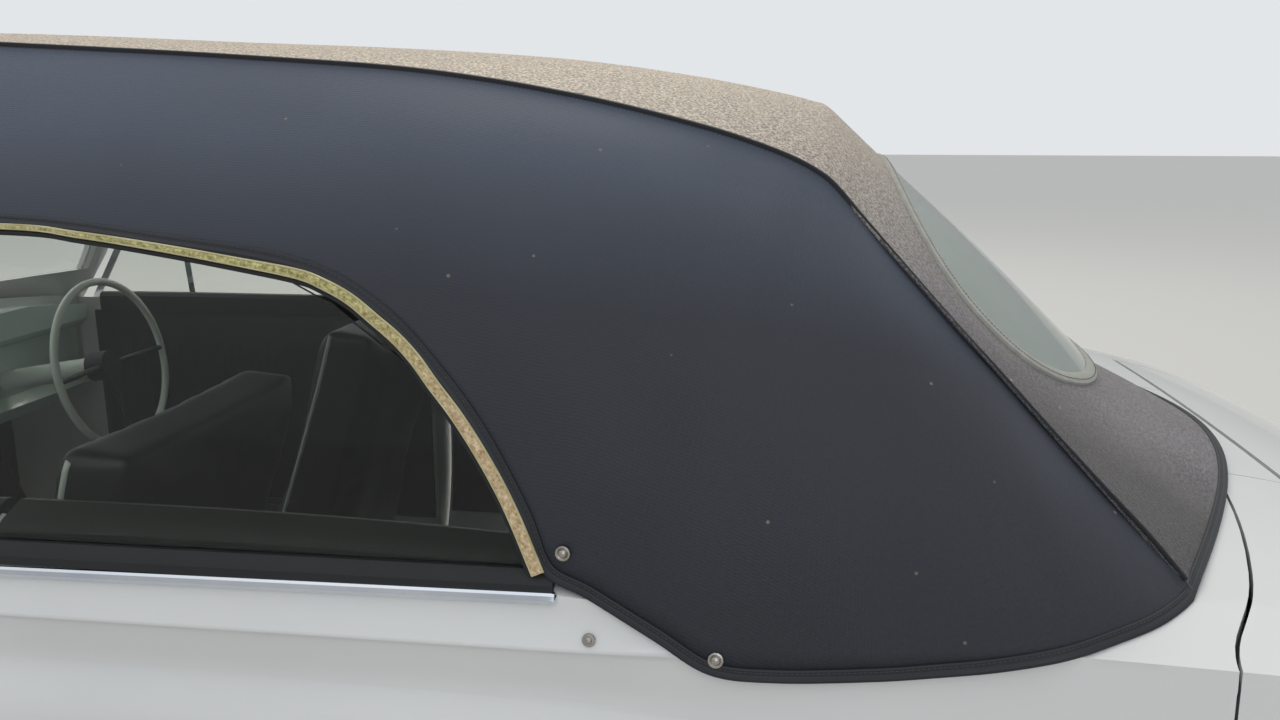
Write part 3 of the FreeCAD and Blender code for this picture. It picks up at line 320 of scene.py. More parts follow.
# Heights and offsets of the pressing under the belt: a crisp upper line that the skin rises
# to, a hollow band under it, and a soft lower line. It fades out behind the side window.
SWAGE_PROFILE = ((0.690, 0.0), (0.700, -0.0004), (0.708, -0.0014), (0.718, -0.0040),
                 (0.728, -0.0078), (0.735, -0.0106), (0.741, -0.0124), (0.747, -0.0126),
                 (0.755, -0.0110), (0.765, -0.0074), (0.775, -0.0034), (0.785, 0.0006),
                 (0.792, 0.0036), (0.7965, 0.0060), (0.7985, 0.0098), (0.8005, 0.0112),
                 (0.8030, 0.0098), (0.810, 0.0070), (0.818, 0.0040), (0.828, 0.0012),
                 (0.838, 0.0))
SWAGE_SLOPE = 0.004
SWAGE_LEVEL_X = 0.3
SWAGE_END_X = 0.92
SWAGE_FADE = 0.20


def swage(x, z):
    """How far the pressing stands out of the plain flank at x and z."""
    z -= SWAGE_SLOPE * (x - SWAGE_LEVEL_X)
    along = min(max((SWAGE_END_X + SWAGE_FADE - x) / SWAGE_FADE, 0), 1)
    if not SWAGE_PROFILE[0][0] < z < SWAGE_PROFILE[-1][0]:
        return 0.0
    i = max(k for k in range(len(SWAGE_PROFILE) - 1) if SWAGE_PROFILE[k][0] <= z)
    (z0, d0), (z1, d1) = SWAGE_PROFILE[i:i + 2]
    return along * (d0 + (d1 - d0) * (z - z0) / (z1 - z0))


def here(tree):
    """The object's own coordinates, from one node in each tree."""
    node = tree.nodes.get("here") or add_node(tree, "ShaderNodeTexCoord", name="here")
    return node.outputs["Object"]


def noise(tree, scale, detail=2.0, rough=0.5):
    """Cloudy noise fixed to the object, with scale waves a metre."""
    return add_node(tree, "ShaderNodeTexNoise", {
        "Vector": here(tree), "Scale": scale, "Detail": detail, "Roughness": rough}).outputs["Fac"]


def bump(tree, height, strength, distance, under=None):
    """Normal bent by a relief of distance metres, on top of an earlier one if given."""
    sockets = {"Height": height, "Strength": strength, "Distance": distance}
    if under:
        sockets["Normal"] = under
    return add_node(tree, "ShaderNodeBump", sockets).outputs[0]


# Sprayed enamel: broad, faint shifts of tone, and fine orange peel that softens reflections.
white_enamel, tree, shader = finish("white_enamel", Roughness=0.32, Coat_Weight=0.8,
                                    Coat_Roughness=0.06, Specular_IOR_Level=0.5)
surface(tree, shader, tones(tree, noise(tree, 2.2, 4.0, 0.6), "#D3D3D0", "#E0E0DD"),
        bump(tree, noise(tree, 260.0, 1.0), 0.03, 0.001))

SHARP_EDGE = math.radians(24)
FLANK_SNAP = 0.006
CUT_SPACING = 0.06


def place_mesh(name, mesh, body, replaced=()):
    """Links a finished mesh as a piece that rides on a body and stands for its nodes."""
    piece = added(name, mesh)
    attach(piece, body)
    if replaced:
        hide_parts(*replaced)
    return piece


def smooth_edges(bm, limit=SHARP_EDGE):
    """Smooth faces, with a sharp edge wherever two faces meet at more than the limit."""
    for face in bm.faces:
        face.smooth = True
    for edge in bm.edges:
        edge.smooth = len(edge.link_faces) == 2 and edge.calc_face_angle(0) < limit


def skin_copy(node, name, material, pressed=False):
    """Merged smooth copy of a panel, which stands for its node; pressed adds the swage line."""
    source = frame["nodes"][node]
    bm = bmesh.new()
    bm.from_mesh(source.data)
    bmesh.ops.remove_doubles(bm, verts=bm.verts, dist=2e-5)
    if pressed:
        low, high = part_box(node)
        cuts = [(Vector((SWAGE_LEVEL_X, 0, z)), Vector((-SWAGE_SLOPE, 0, 1)))
                for z, _ in SWAGE_PROFILE]
        cuts += [(Vector((low[0] + CUT_SPACING * i, 0, 0)), Vector((1, 0, 0)))
                 for i in range(1, int((high[0] - low[0]) / CUT_SPACING) + 1)]
        for point, normal in cuts:
            bmesh.ops.bisect_plane(bm, geom=bm.verts[:] + bm.edges[:] + bm.faces[:], dist=1e-6,
                                   plane_co=point, plane_no=normal)
        for vert in bm.verts:
            x, y, z = vert.co
            half = flank_y(x, z)
            if z < body_lines(x)[3][1] + 1e-4 and abs(abs(y) - half) < FLANK_SNAP:
                vert.co.y = math.copysign(half + swage(x, z), y)
    smooth_edges(bm)
    mesh = bpy.data.meshes.new(name)
    bm.to_mesh(mesh)
    bm.free()
    mesh.materials.append(material)
    return place_mesh(name, mesh, body_of(source)[0], [node])


for node, pressed in (("body_tub", True), ("front_wings", True), ("rear_wings", True),
                      ("door_left", True), ("door_right", True), ("bonnet", False),
                      ("nose_panel", False), ("boot_lid", False), ("tail_panel", False)):
    skin_copy(node, node + "_skin", white_enamel, pressed)


# Hood: black double-texture cloth, cut in a top panel and two side panels that are sewn
# together along the roof's edges, stretched over three bows and screwed down round its hem.
# Rows run from header to hem corner. Each has a point of the lower edge, one of the seam and
# one of the centre line, how far the side's belly stands in and up, and the crown's roundness.
HOOD_ROWS = (
    ((-0.424, 0.7005, 1.1970), (-0.338, 0.5200, 1.4000), (-0.380, 0, 1.4355), 0.38, 0.58, 2.0),
    ((0.000, 0.7005, 1.1965), (0.000, 0.5200, 1.3920), (0.000, 0, 1.4265), 0.38, 0.58, 2.0),
    ((0.304, 0.7010, 1.1960), (0.313, 0.5200, 1.3770), (0.313, 0, 1.4125), 0.38, 0.58, 2.0),
    ((0.480, 0.7035, 1.1787), (0.500, 0.5200, 1.3660), (0.500, 0, 1.4050), 0.36, 0.59, 2.0),
    ((0.626, 0.7067, 1.1569), (0.660, 0.5200, 1.3545), (0.660, 0, 1.3960), 0.31, 0.60, 2.0),
    ((0.708, 0.7129, 1.1144), (0.765, 0.5200, 1.3415), (0.765, 0, 1.3880), 0.25, 0.62, 2.0),
    ((0.768, 0.7218, 1.0536), (0.850, 0.5200, 1.3270), (0.850, 0, 1.3785), 0.20, 0.64, 2.0),
    ((0.811, 0.7301, 0.9965), (0.915, 0.5200, 1.3135), (0.915, 0, 1.3690), 0.15, 0.66, 2.0),
    ((0.851, 0.7404, 0.9257), (0.975, 0.5200, 1.2990), (0.975, 0, 1.3595), 0.11, 0.68, 2.0),
    ((0.875, 0.7480, 0.8734), (1.020, 0.5200, 1.2870), (1.020, 0, 1.3510), 0.08, 0.69, 2.0),
    ((0.919, 0.7535, 0.8523), (1.062, 0.5200, 1.2735), (1.062, 0, 1.3425), 0.08, 0.68, 2.0),
    ((0.984, 0.7660, 0.8205), (1.0985, 0.5200, 1.2595), (1.100, 0, 1.3340), 0.08, 0.67, 2.0),
    ((1.037, 0.7705, 0.7915), (1.1255, 0.5205, 1.2455), (1.128, 0, 1.3265), 0.08, 0.66, 2.0),
    ((1.098, 0.7710, 0.7881), (1.145, 0.5235, 1.2305), (1.150, 0, 1.3180), 0.09, 0.65, 2.0),
    ((1.186, 0.7695, 0.7953), (1.178, 0.5300, 1.1936), (1.196, 0, 1.2765), 0.10, 0.64, 1.8),
    ((1.244, 0.7685, 0.8033), (1.215, 0.5400, 1.1529), (1.260, 0, 1.2180), 0.12, 0.62, 1.6),
    ((1.301, 0.7680, 0.8132), (1.268, 0.5580, 1.0954), (1.342, 0, 1.1460), 0.15, 0.60, 1.4),
    ((1.3575, 0.7640, 0.8264), (1.319, 0.5760, 1.0424), (1.4245, 0, 1.0697), 0.20, 0.58, 1.2),
    ((1.410, 0.7360, 0.8330), (1.368, 0.5940, 0.9906), (1.4998, 0, 0.9970), 0.28, 0.55, 1.0),
    ((1.450, 0.7100, 0.8380), (1.417, 0.6120, 0.9402), (1.5735, 0, 0.9280), 0.36, 0.52, 0.8),
    ((1.480, 0.6830, 0.8435), (1.463, 0.6320, 0.8940), (1.6585, 0, 0.8842), 0.45, 0.50, 0.6),
    ((1.4994, 0.6600, 0.8483), (1.4994, 0.6560, 0.8520), (1.7235, 0, 0.8500), 0.50, 0.50, 0.5),
)
HOOD_ROW_STEPS = 6
SIDE_STEPS = 20
TOP_STEPS = 24
SIDE_UV_START = 0.6
REAR_BOW_ROW = 13


def smooth_between(knots, t):
    """Point at t on the smooth curve that passes knot i at t = i."""
    last = len(knots) - 1
    i = min(int(t), last - 1)
    f = t - i
    p0, p1, p2, p3 = (knots[min(max(i + k, 0), last)] for k in (-1, 0, 1, 2))
    return p1 + 0.5 * f * ((p2 - p0) + f * ((2 * p0 - 5 * p1 + 4 * p2 - p3)
                                            + f * (3 * (p1 - p2) + p3 - p0)))


HOOD_LOW = [Vector(row[0]) for row in HOOD_ROWS]
HOOD_SEAM = [Vector(row[1]) for row in HOOD_ROWS]
HOOD_CENTRE = [Vector(row[2]) for row in HOOD_ROWS]
HOOD_BELLY_IN = [row[3] for row in HOOD_ROWS]
HOOD_BELLY_UP = [row[4] for row in HOOD_ROWS]
HOOD_ROUND = [row[5] for row in HOOD_ROWS]
LAST_ROW = len(HOOD_ROWS) - 1


def hood_side(s, t):
    """Right side panel: s runs from header to hem corner, t from lower edge to seam."""
    low, seam = smooth_between(HOOD_LOW, s), smooth_between(HOOD_SEAM, s)
    belly_in, belly_up = smooth_between(HOOD_BELLY_IN, s), smooth_between(HOOD_BELLY_UP, s)
    belly = Vector(((low.x + seam.x) / 2, low.y - belly_in * (low.y - seam.y),
                    low.z + belly_up * (seam.z - low.z)))
    return low * (1 - t) ** 2 + belly * 2 * t * (1 - t) + seam * t * t


def hood_top(s, v):
    """Top panel: v runs from -1 at the left seam through 0 at the centre to 1."""
    seam, centre = smooth_between(HOOD_SEAM, s), smooth_between(HOOD_CENTRE, s)
    c = smooth_between(HOOD_ROUND, s)
    fall = (math.sqrt(1 + (v / c) ** 2) - 1) / (math.sqrt(1 + 1 / (c * c)) - 1)
    return Vector((centre.x + (seam.x - centre.x) * fall, seam.y * v,
                   centre.z + (seam.z - centre.z) * fall))


# Rear window opening, in the top panel's own (across, down) metres about its middle.
WINDOW_ROW = 16.55
WINDOW_HALF_ACROSS = 0.475
WINDOW_HALF_DOWN = 0.205
WINDOW_STEPS = 72
WINDOW_SQUARE_DOWN = 0.86
WINDOW_SQUARE_ACROSS = 0.72
WINDOW_SPLAY = 0.05
WINDOW_CLEAR = 0.016


def run_length(points):
    """Distance along a line from its first point to each of its points."""
    total = [0.0]
    for a, b in zip(points, points[1:]):
        total.append(total[-1] + (b - a).length)
    return total


SEAM_S = [i / HOOD_ROW_STEPS for i in range(LAST_ROW * HOOD_ROW_STEPS + 1)]
CENTRE_RUN = run_length([hood_top(s, 0) for s in SEAM_S])


def centre_s(run):
    """The s at which the centre line is run metres from the header."""
    i = max(k for k in range(len(SEAM_S) - 1) if CENTRE_RUN[k] <= run)
    return SEAM_S[i] + (run - CENTRE_RUN[i]) / (CENTRE_RUN[i + 1] - CENTRE_RUN[i]) / HOOD_ROW_STEPS


window_step = WINDOW_ROW * HOOD_ROW_STEPS
above = int(window_step)
WINDOW_RUN = CENTRE_RUN[above] + (window_step - above) * (CENTRE_RUN[above + 1]
                                                          - CENTRE_RUN[above])


def circle(count):
    """Cosine and sine of as many even steps round a circle."""
    return [(math.cos(a), math.sin(a)) for a in (2 * math.pi * k / count for k in range(count))]


def window_oval(grow):
    """Outline of the rear window in (across, down): wide, round-ended, narrower at its top."""
    outline = []
    for c, s in circle(WINDOW_STEPS):
        down = (WINDOW_HALF_DOWN + grow) * math.copysign(abs(s) ** WINDOW_SQUARE_DOWN, s)
        across = (WINDOW_HALF_ACROSS + grow) * math.copysign(abs(c) ** WINDOW_SQUARE_ACROSS, c)
        outline.append((across * (1 + WINDOW_SPLAY * down / WINDOW_HALF_DOWN), down))
    return outline


def on_back(across, down):
    """Point of the top panel at metres across and down from the rear window's middle."""
    s = centre_s(WINDOW_RUN + down)
    half = smooth_between(HOOD_SEAM, s).y
    return hood_top(s, across / half)


def inside_oval(point, outline):
    """Whether an (across, down) point lies inside a closed outline."""
    x, y = point
    hit = False
    for (x0, y0), (x1, y1) in zip(outline, outline[1:] + outline[:1]):
        if (y0 > y) != (y1 > y) and x < x0 + (y - y0) * (x1 - x0) / (y1 - y0):
            hit = not hit
    return hit


def hood_fabric(name, low_tone, high_tone, speck_tone, shaded_fleck, lit_fleck_tone, contrast, depth,
                corner_painted_shade, **values):
    """Woven cotton face with a dry bloom: plain weave, slow shifts of tone, flecks, pale specks,
    painted light that rises with height and painted shade towards the lower edges.
    """
    material, tree, shader = finish(name, **values)
    thread_uv = add_node(tree, "ShaderNodeUVMap", uv_map="cloth").outputs[0]
    weave = maths(tree, "MULTIPLY", *(
        add_node(tree, "ShaderNodeTexWave", {"Vector": thread_uv, "Distortion": 0.6, "Detail": 1.0,
                                             "Scale": 1 / THREAD / 20 * math.pi},
                 bands_direction=way).outputs["Fac"] for way in "XY"))
    flecks = ranged(tree, noise(tree, 290.0), 0.5 - contrast, 0.5 + contrast)
    spots = add_node(tree, "ShaderNodeTexVoronoi", {"Vector": here(tree), "Scale": 19.0})
    speck = ranged(tree, spots.outputs["Distance"], 0.045, 0.02)
    # Painted light and dust: the tone rises with height, a painted sheen where the sky lights the
    # upper cloth, and dust that settles there.
    _, y, z = add_node(tree, "ShaderNodeSeparateXYZ", {0: here(tree)}).outputs
    level = maths(tree, "ADD", noise(tree, 2.2, 5.0, 0.6),
                  ranged(tree, z, 0.85, 1.35, -0.35, 0.45), use_clamp=True)
    cloth = tones(tree, level, low_tone, high_tone)
    # Painted shade: the cloth is painted darker towards its lower edges, down the sides and in the
    # back's lower corners, and the dark reaches in further lower down.
    inner = maths(tree, "ADD", maths(tree, "ABSOLUTE", y), ranged(tree, z, 0.90, 1.34, 0.12, -0.25))
    darkened = ranged(tree, inner, 0.42, 0.62, 0.0, corner_painted_shade)
    # Painted light: the flecks turn from their shaded tone low down to a lit, dusty tone high up.
    fleck = tones(tree, ranged(tree, z, 1.12, 1.36), shaded_fleck, lit_fleck_tone)
    cloth_with_painted_shade = tones(tree, darkened, tones(tree, flecks, cloth, fleck), "#1B1C21")
    # Broad, shallow waves where the cloth is slack between the bows, under the weave.
    waves = bump(tree, noise(tree, 4.5, 1.0), 0.5, 0.03)
    surface(tree, shader, tones(tree, speck, cloth_with_painted_shade, speck_tone),
            bump(tree, maths(tree, "ADD", weave, flecks), depth, 0.0008, waves))
    return material


# The threads are 0.6 mm on the real cloth and drawn at 1.6 mm, the finest the picture shows.
# The sides are blue-black; the roof and back are a lighter copy of the same cloth, partly pale dust
# between the threads and partly painted sheen where the sky lights them.
THREAD = 0.0016
hood_cloth = hood_fabric("hood_cloth_sides", "#16181D", "#4A5160", "#77705F", "#434A57", "#434A57",
                         0.45, 0.3, 0.75, Roughness=0.62, Sheen_Weight=0.35, Sheen_Roughness=0.4,
                         Sheen_Tint=linear("#A9B4C8"))
roof_cloth_dust_and_sheen = hood_fabric("hood_cloth_roof_dust_and_sheen", "#1E1E20", "#8A8075", "#B3A99A", "#85838A",
                              "#EEDCC1", 0.09, 0.9, 0.8, Roughness=0.6, Sheen_Weight=0.3,
                              Sheen_Roughness=0.34, Sheen_Tint=linear("#EFE6DC"))
CLOTH_THICKNESS = 0.003


def mesh_from(name, points, faces, material, uvs=None):
    """Mesh of smooth faces, with one UV point for each vertex if uvs are given."""
    mesh = bpy.data.meshes.new(name)
    mesh.from_pydata([tuple(p) for p in points], [], faces)
    if uvs:
        layer = mesh.uv_layers.new(name="cloth")
        for loop in mesh.loops:
            layer.data[loop.index].uv = uvs[loop.vertex_index]
    mesh.polygons.foreach_set("use_smooth", [True] * len(mesh.polygons))
    mesh.materials.append(material)
    return mesh


def flipped(p):
    """The same point or direction on the car's other side."""
    return Vector((p[0], -p[1], p[2]))


def grid_faces(base, rows, columns):
    """Faces of a grid of points, rows + 1 by columns + 1, whose first point has number base."""
    corners = (base + i * (columns + 1) + j for i in range(rows) for j in range(columns))
    return [(a, a + 1, a + columns + 2, a + columns + 1) for a in corners]


def hood_patches():
    """Points, faces and cloth UVs of the whole hood skin, right and left halves."""
    points, faces, uvs = [], [], []
    rows, top_rows = LAST_ROW * HOOD_ROW_STEPS, REAR_BOW_ROW * HOOD_ROW_STEPS
    for side in (1, -1):
        base = len(points)
        for s, run in zip(SEAM_S, CENTRE_RUN):
            tall = (smooth_between(HOOD_SEAM, s) - smooth_between(HOOD_LOW, s)).length
            for t in (j / SIDE_STEPS for j in range(SIDE_STEPS + 1)):
                p = hood_side(s, t)
                points.append(p if side > 0 else flipped(p))
                uvs.append((run, side * (SIDE_UV_START + (1 - t) * tall)))
        faces += [ring[::side] for ring in grid_faces(base, rows, SIDE_STEPS)]
    base = len(points)
    for s, run in zip(SEAM_S[:top_rows + 1], CENTRE_RUN):
        for v in (2 * j / TOP_STEPS - 1 for j in range(TOP_STEPS + 1)):
            points.append(hood_top(s, v))
            uvs.append((run, v * HOOD_SEAM[0].y))
    faces += [ring[::-1] for ring in grid_faces(base, top_rows, TOP_STEPS)]
    # Back of the top panel: a grid of points with the window's outline, joined by triangles.
    oval = window_oval(0.0)
    flat = []
    for i in range(top_rows, rows + 1):
        half = smooth_between(HOOD_SEAM, SEAM_S[i]).y
        down = CENTRE_RUN[i] - WINDOW_RUN
        for j in range(TOP_STEPS + 1):
            spot = ((2 * j / TOP_STEPS - 1) * half, down)
            edge = i in (top_rows, rows) or j in (0, TOP_STEPS)
            near = min(math.dist(spot, corner) for corner in oval) < WINDOW_CLEAR
            if edge or not (near or inside_oval(spot, oval)):
                flat.append((spot, (SEAM_S[i], 2 * j / TOP_STEPS - 1)))
    count = len(flat)
    for a, b in oval:
        s = centre_s(WINDOW_RUN + b)
        flat.append(((a, b), (s, a / smooth_between(HOOD_SEAM, s).y)))
    edges = [(count + k, count + (k + 1) % len(oval)) for k in range(len(oval))]
    spots, _, triangles, *_ = delaunay_2d_cdt([Vector(f[0]) for f in flat], edges, [], 0, 1e-6)
    base = len(points)
    for spot, (_, (s, v)) in zip(spots, flat):
        points.append(hood_top(s, v))
        uvs.append((WINDOW_RUN + spot.y, spot.x))
    for triangle in triangles:
        middle = sum((spots[k] for k in triangle), Vector((0, 0))) / 3
        if not inside_oval(middle, oval):
            a, b, c = (points[base + k] for k in triangle)
            ring = tuple(base + k for k in triangle)
            faces.append(ring if (b - a).cross(c - a).x > 0 else ring[::-1])
    return points, faces, uvs


hood_points, hood_faces, hood_uvs = hood_patches()
hood_mesh = mesh_from("hood_cloth", hood_points, hood_faces, hood_cloth, hood_uvs)
hood_mesh.materials.append(roof_cloth_dust_and_sheen)
bm = bmesh.new()
bm.from_mesh(hood_mesh)
bm.faces.ensure_lookup_table()
for face in bm.faces[:2 * LAST_ROW * HOOD_ROW_STEPS * SIDE_STEPS]:
    face.tag = True
bmesh.ops.remove_doubles(bm, verts=bm.verts, dist=2e-4)
for edge in bm.edges:
    edge.smooth = len({face.tag for face in edge.link_faces}) == 1
for face in bm.faces:
    face.material_index = 0 if face.tag else 1
bm.to_mesh(hood_mesh)
bm.free()
hood = place_mesh("hood_cloth", hood_mesh, "body", ["soft_top"])
wall = hood.modifiers.new("cloth_thickness", "SOLIDIFY")
wall.thickness = CLOTH_THICKNESS
wall.offset = -1


# Hood bindings: black tape folded over the raw edges and stitched through, along the windows
# and round the hem, with a rolled lower lip; and the welt that stands up along each side seam.
binding_tape, tree, shader = finish("hood_binding_tape", Roughness=0.55, Sheen_Weight=0.1,
                                    Sheen_Roughness=0.4, Sheen_Tint=linear("#8C8880"))
surface(tree, shader, tones(tree, noise(tree, 12.0, 4.0), "#121418", "#23262C"),
        bump(tree, noise(tree, 500.0), 0.4, 0.0005))


def tube(rings, ends="capped"):
    """Points and faces of a skin over rings of points, with its ends capped, joined or open."""
    n = len(rings[0])
    points = [p for ring in rings for p in ring]
    pairs = [(i, i + 1) for i in range(len(rings) - 1)]
    if ends == "joined":
        pairs.append((len(rings) - 1, 0))
    faces = [(a * n + k, a * n + (k + 1) % n, b * n + (k + 1) % n, b * n + k)
             for a, b in pairs for k in range(n)]
    if ends == "capped":
        faces += [tuple(range(n - 1, -1, -1)), tuple(range(len(points) - n, len(points)))]
    return points, faces


def sweep(stations, profile):
    """Points and faces of a closed profile of (across, out) metres carried along stations.

    Each station is a point, a unit vector across the band, one out of the surface and, for a
    band that changes its width, what its across values are multiplied by."""
    return tube([[spot + across * a * (width[0] if width else 1.0) + out * u for a, u in profile]
                 for spot, across, out, *width in stations])


def both_sides(points, faces):
    """The same points and faces, with their mirror image on the car's other side."""
    n = len(points)
    return list(points) + [flipped(p) for p in points], \
        list(faces) + [tuple(n + k for k in reversed(f)) for f in faces]


def joined(*parts):
    """Several sets of points and faces as one."""
    points, faces = [], []
    for some_points, some_faces in parts:
        n = len(points)
        points += some_points
        faces += [tuple(n + k for k in f) for f in some_faces]
    return points, faces


def face_outward(mesh, limit=None):
    """Turns a mesh's faces outward and, if a limit is given, marks its hard edges."""
    bm = bmesh.new()
    bm.from_mesh(mesh)
    bmesh.ops.recalc_face_normals(bm, faces=bm.faces)
    if limit is not None:
        smooth_edges(bm, limit)
    bm.to_mesh(mesh)
    bm.free()
    return mesh


def solid_piece(name, shape, material, body, replaced=(), sharp=SHARP_EDGE):
    """Piece from points and faces, its faces turned outward and its hard edges kept."""
    mesh = face_outward(mesh_from(name, *shape, material), sharp)
    return place_mesh(name, mesh, body, replaced)


def square_to(one, other, toward):
    """Unit vector square to two directions, on the side that a third one looks to."""
    square = one.cross(other).normalized()
    return -square if square.dot(toward) < 0 else square


def side_frame(s, t=0.0):
    """Point of the side panel with its directions along it, up it and out of it."""
    p = hood_side(s, t)
    up = (hood_side(s, t + 0.02) - p).normalized()
    along = (hood_side(min(s + 0.05, LAST_ROW), t) - hood_side(max(s - 0.05, 0), t)).normalized()
    return p, along, up, square_to(along, up, Vector((0, 1, 0)))


def back_hem_frame(v):
    """Point of the back hem at v across, with its directions along it, up the panel and out."""
    p = hood_top(LAST_ROW, v)
    up = (hood_top(LAST_ROW - 0.12, v) - p).normalized()
    along = (hood_top(LAST_ROW, v + 0.02) - hood_top(LAST_ROW, v - 0.02)).normalized()
    return p, along, up, square_to(along, up, Vector((0, 0, 1)))


SIDE_HEM_STEPS = 10
BACK_HEM_STEPS = 24


def hem_stations():
    """Right half of the hood's free edge: over the window, down the hem, round to the middle."""
    frames = [side_frame(k / SIDE_HEM_STEPS)
              for k in range(2, int((LAST_ROW - 0.3) * SIDE_HEM_STEPS))]
    frames += [back_hem_frame(1 - k / BACK_HEM_STEPS) for k in range(1, BACK_HEM_STEPS + 1)]
    return [(p, square_to(out, along, up), out) for p, along, up, out in frames]


TAPE_PROFILE = ((-0.0024, -0.0020), (-0.0034, 0.0006), (-0.0024, 0.0030), (0.0002, 0.0040),
                (0.0030, 0.0034), (0.0042, 0.0025), (0.0084, 0.0025), (0.0098, 0.0014),
                (0.0102, -0.0010))
hem_path = hem_stations()
full_hem = hem_path + [tuple(map(flipped, station)) for station in reversed(hem_path[:-1])]
solid_piece("hood_edge_binding", sweep(full_hem, TAPE_PROFILE), binding_tape, "body")

SEAM_PROFILE = ((-0.0060, 0.0004), (-0.0045, 0.0018), (-0.0015, 0.0022), (0.0000, 0.0040),
                (0.0022, 0.0038), (0.0030, 0.0014), (0.0032, -0.0006), (0.0, -0.0012))
SEAM_STEPS = 8


def seam_stations():
    """Stations along the right seam, from behind the header to the hem corner."""
    stations = []
    for k in range(3, LAST_ROW * SEAM_STEPS - 1):
        s = k / SEAM_STEPS
        p, along, up, out = side_frame(s, 1.0)
        top_in = (hood_top(s, 0.96) - p).normalized()
        top_out = along.cross(top_in).normalized()
        top_out = -top_out if top_out.z < 0 and top_out.x < 0 else top_out
        mean = (out + top_out).normalized() if out.dot(top_out) > 0 else out
        stations.append((p, square_to(mean, along, -top_in), mean))
    return stations


seam_path = seam_stations()
solid_piece("hood_seam_welts", both_sides(*sweep(seam_path, SEAM_PROFILE)), binding_tape, "body")


# Header seal: the hood's front edge, turned over a rubber tube, bound in the same tape and
# pulled down on the windscreen rail by the hood's catches.
HEADER_STEPS = 12
CABIN_MIDDLE_Z = 1.1
AHEAD = Vector((-1, 0, 0))


def header_stations():
    """Stations across the hood's front edge, from its right lower corner to its left one."""
    right = [hood_side(0, k / HEADER_STEPS) for k in range(HEADER_STEPS)]
    right += [hood_top(0, 1 - k / HEADER_STEPS) for k in range(HEADER_STEPS + 1)]
    path = right + [flipped(p) for p in reversed(right[:-1])]
    stations = []
    for i, p in enumerate(path):
        along = (path[min(i + 1, len(path) - 1)] - path[max(i - 1, 0)]).normalized()
        outward = Vector((0, p.y, p.z - CABIN_MIDDLE_Z))
        stations.append((p, AHEAD, square_to(along, AHEAD, outward)))
    return stations


HEADER_PROFILE = ((-0.020, 0.0005), (-0.014, 0.0030), (0.000, 0.0042), (0.010, 0.0036),
                  (0.016, 0.0005), (0.0165, -0.0060), (0.012, -0.0115), (0.000, -0.0130),
                  (-0.010, -0.0100), (-0.018, -0.0040))
solid_piece("hood_header_seal", sweep(header_stations(), HEADER_PROFILE), binding_tape, "body")


# Hood rear window: a clear, slightly green pane bowed to the hood's back, held by a grey
# rubber surround that is sewn into the opening.
window_pane, tree, shader = finish("greened_pane", Roughness=0.05, Transmission_Weight=0.72,
                                   IOR=1.5)
haze = noise(tree, 9.0, 4.0)
surface(tree, shader, tones(tree, haze, "#B9C9BC", "#D6E0D5"),
        rough=ranged(tree, haze, to_min=0.02, to_max=0.10))
grey_rubber, tree, shader = finish("grey_rubber_surround", Roughness=0.5)
surface(tree, shader, tones(tree, noise(tree, 60.0, 3.0), "#85857D", "#B3B2A8"))

BACK_STEP = 0.004


def off_back(across, down, lift):
    """Point lift metres off the hood's back, at metres across and down from the window's middle."""
    p = on_back(across, down)
    right = on_back(across + BACK_STEP, down) - p
    below = on_back(across, down + BACK_STEP) - p
    return p + square_to(right, below, Vector((1, 0, 0))) * lift


def oval_ring(grow, lift):
    """Closed line round the window, grown and lifted off the hood's back."""
    return [off_back(across, down, lift) for across, down in window_oval(grow)]


SURROUND_PROFILE = ((0.010, -0.001), (0.009, 0.0030), (0.004, 0.0046), (-0.006, 0.0042),
                    (-0.011, 0.0022), (-0.012, -0.0040), (0.002, -0.0050))
surround = tube([oval_ring(*corner) for corner in SURROUND_PROFILE], "joined")
solid_piece("rear_window_surround", surround, grey_rubber, "body")

PANE_RINGS = 12
PANE_GROW = -0.006


def pane_face(lift):
    """One face of the pane: rings that close in on its middle, and the middle point."""
    outline = window_oval(PANE_GROW)
    shares = [1 - k / PANE_RINGS for k in range(PANE_RINGS)]
    points, faces = tube([[off_back(a * f, d * f, lift) for a, d in outline] for f in shares],
                         "open")
    last, n = len(points), len(outline)
    faces += [(last - n + j, last - n + (j + 1) % n, last) for j in range(n)]
    return points + [off_back(0, 0, lift)], faces


pane_points, pane_faces = joined(pane_face(0.0005), pane_face(-0.0025))
half = len(pane_points) // 2
pane_faces += [(j, half + j, half + (j + 1) % WINDOW_STEPS, (j + 1) % WINDOW_STEPS)
               for j in range(WINDOW_STEPS)]
solid_piece("rear_window_pane", (pane_points, pane_faces), window_pane, "body",
            ["rear_window"])


# Window strip: a weatherstrip of felt in a bright channel, pressed into the hood's edge round
# the side windows, with a black rubber lip that the glass shuts against. The felt has yellowed:
# olive along its upper run, a paler tan at its lower end, and fibrous all along.
felt, tree, shader = finish("yellowed_felt", Roughness=0.9, Sheen_Weight=0.3)
height = add_node(tree, "ShaderNodeSeparateXYZ", {0: here(tree)}).outputs["Z"]
fibre = ranged(tree, noise(tree, 210.0, 5.0, 0.75), 0.36, 0.62)
surface(tree, shader, tones(tree, ranged(tree, height, 1.14, 1.02),
                            tones(tree, fibre, "#827B42", "#E4DA96"),
                            tones(tree, fibre, "#A98556", "#EBD5AC")),
        bump(tree, fibre, 0.6, 0.0015))


def mottled(name, dark, light, patch, grain, relief, **values):
    """Material with cloudy tone patches and fine relief; patch, grain and relief in metres."""
    material, tree, shader = finish(name, **values)
    surface(tree, shader, tones(tree, noise(tree, 1 / patch, 4.0), dark, light),
            bump(tree, noise(tree, 1 / grain), 0.5, relief))
    return material


black_rubber = mottled("black_rubber", "#0E0F10", "#1C1D1F", 0.05, 0.0015, 0.0003, Roughness=0.55)

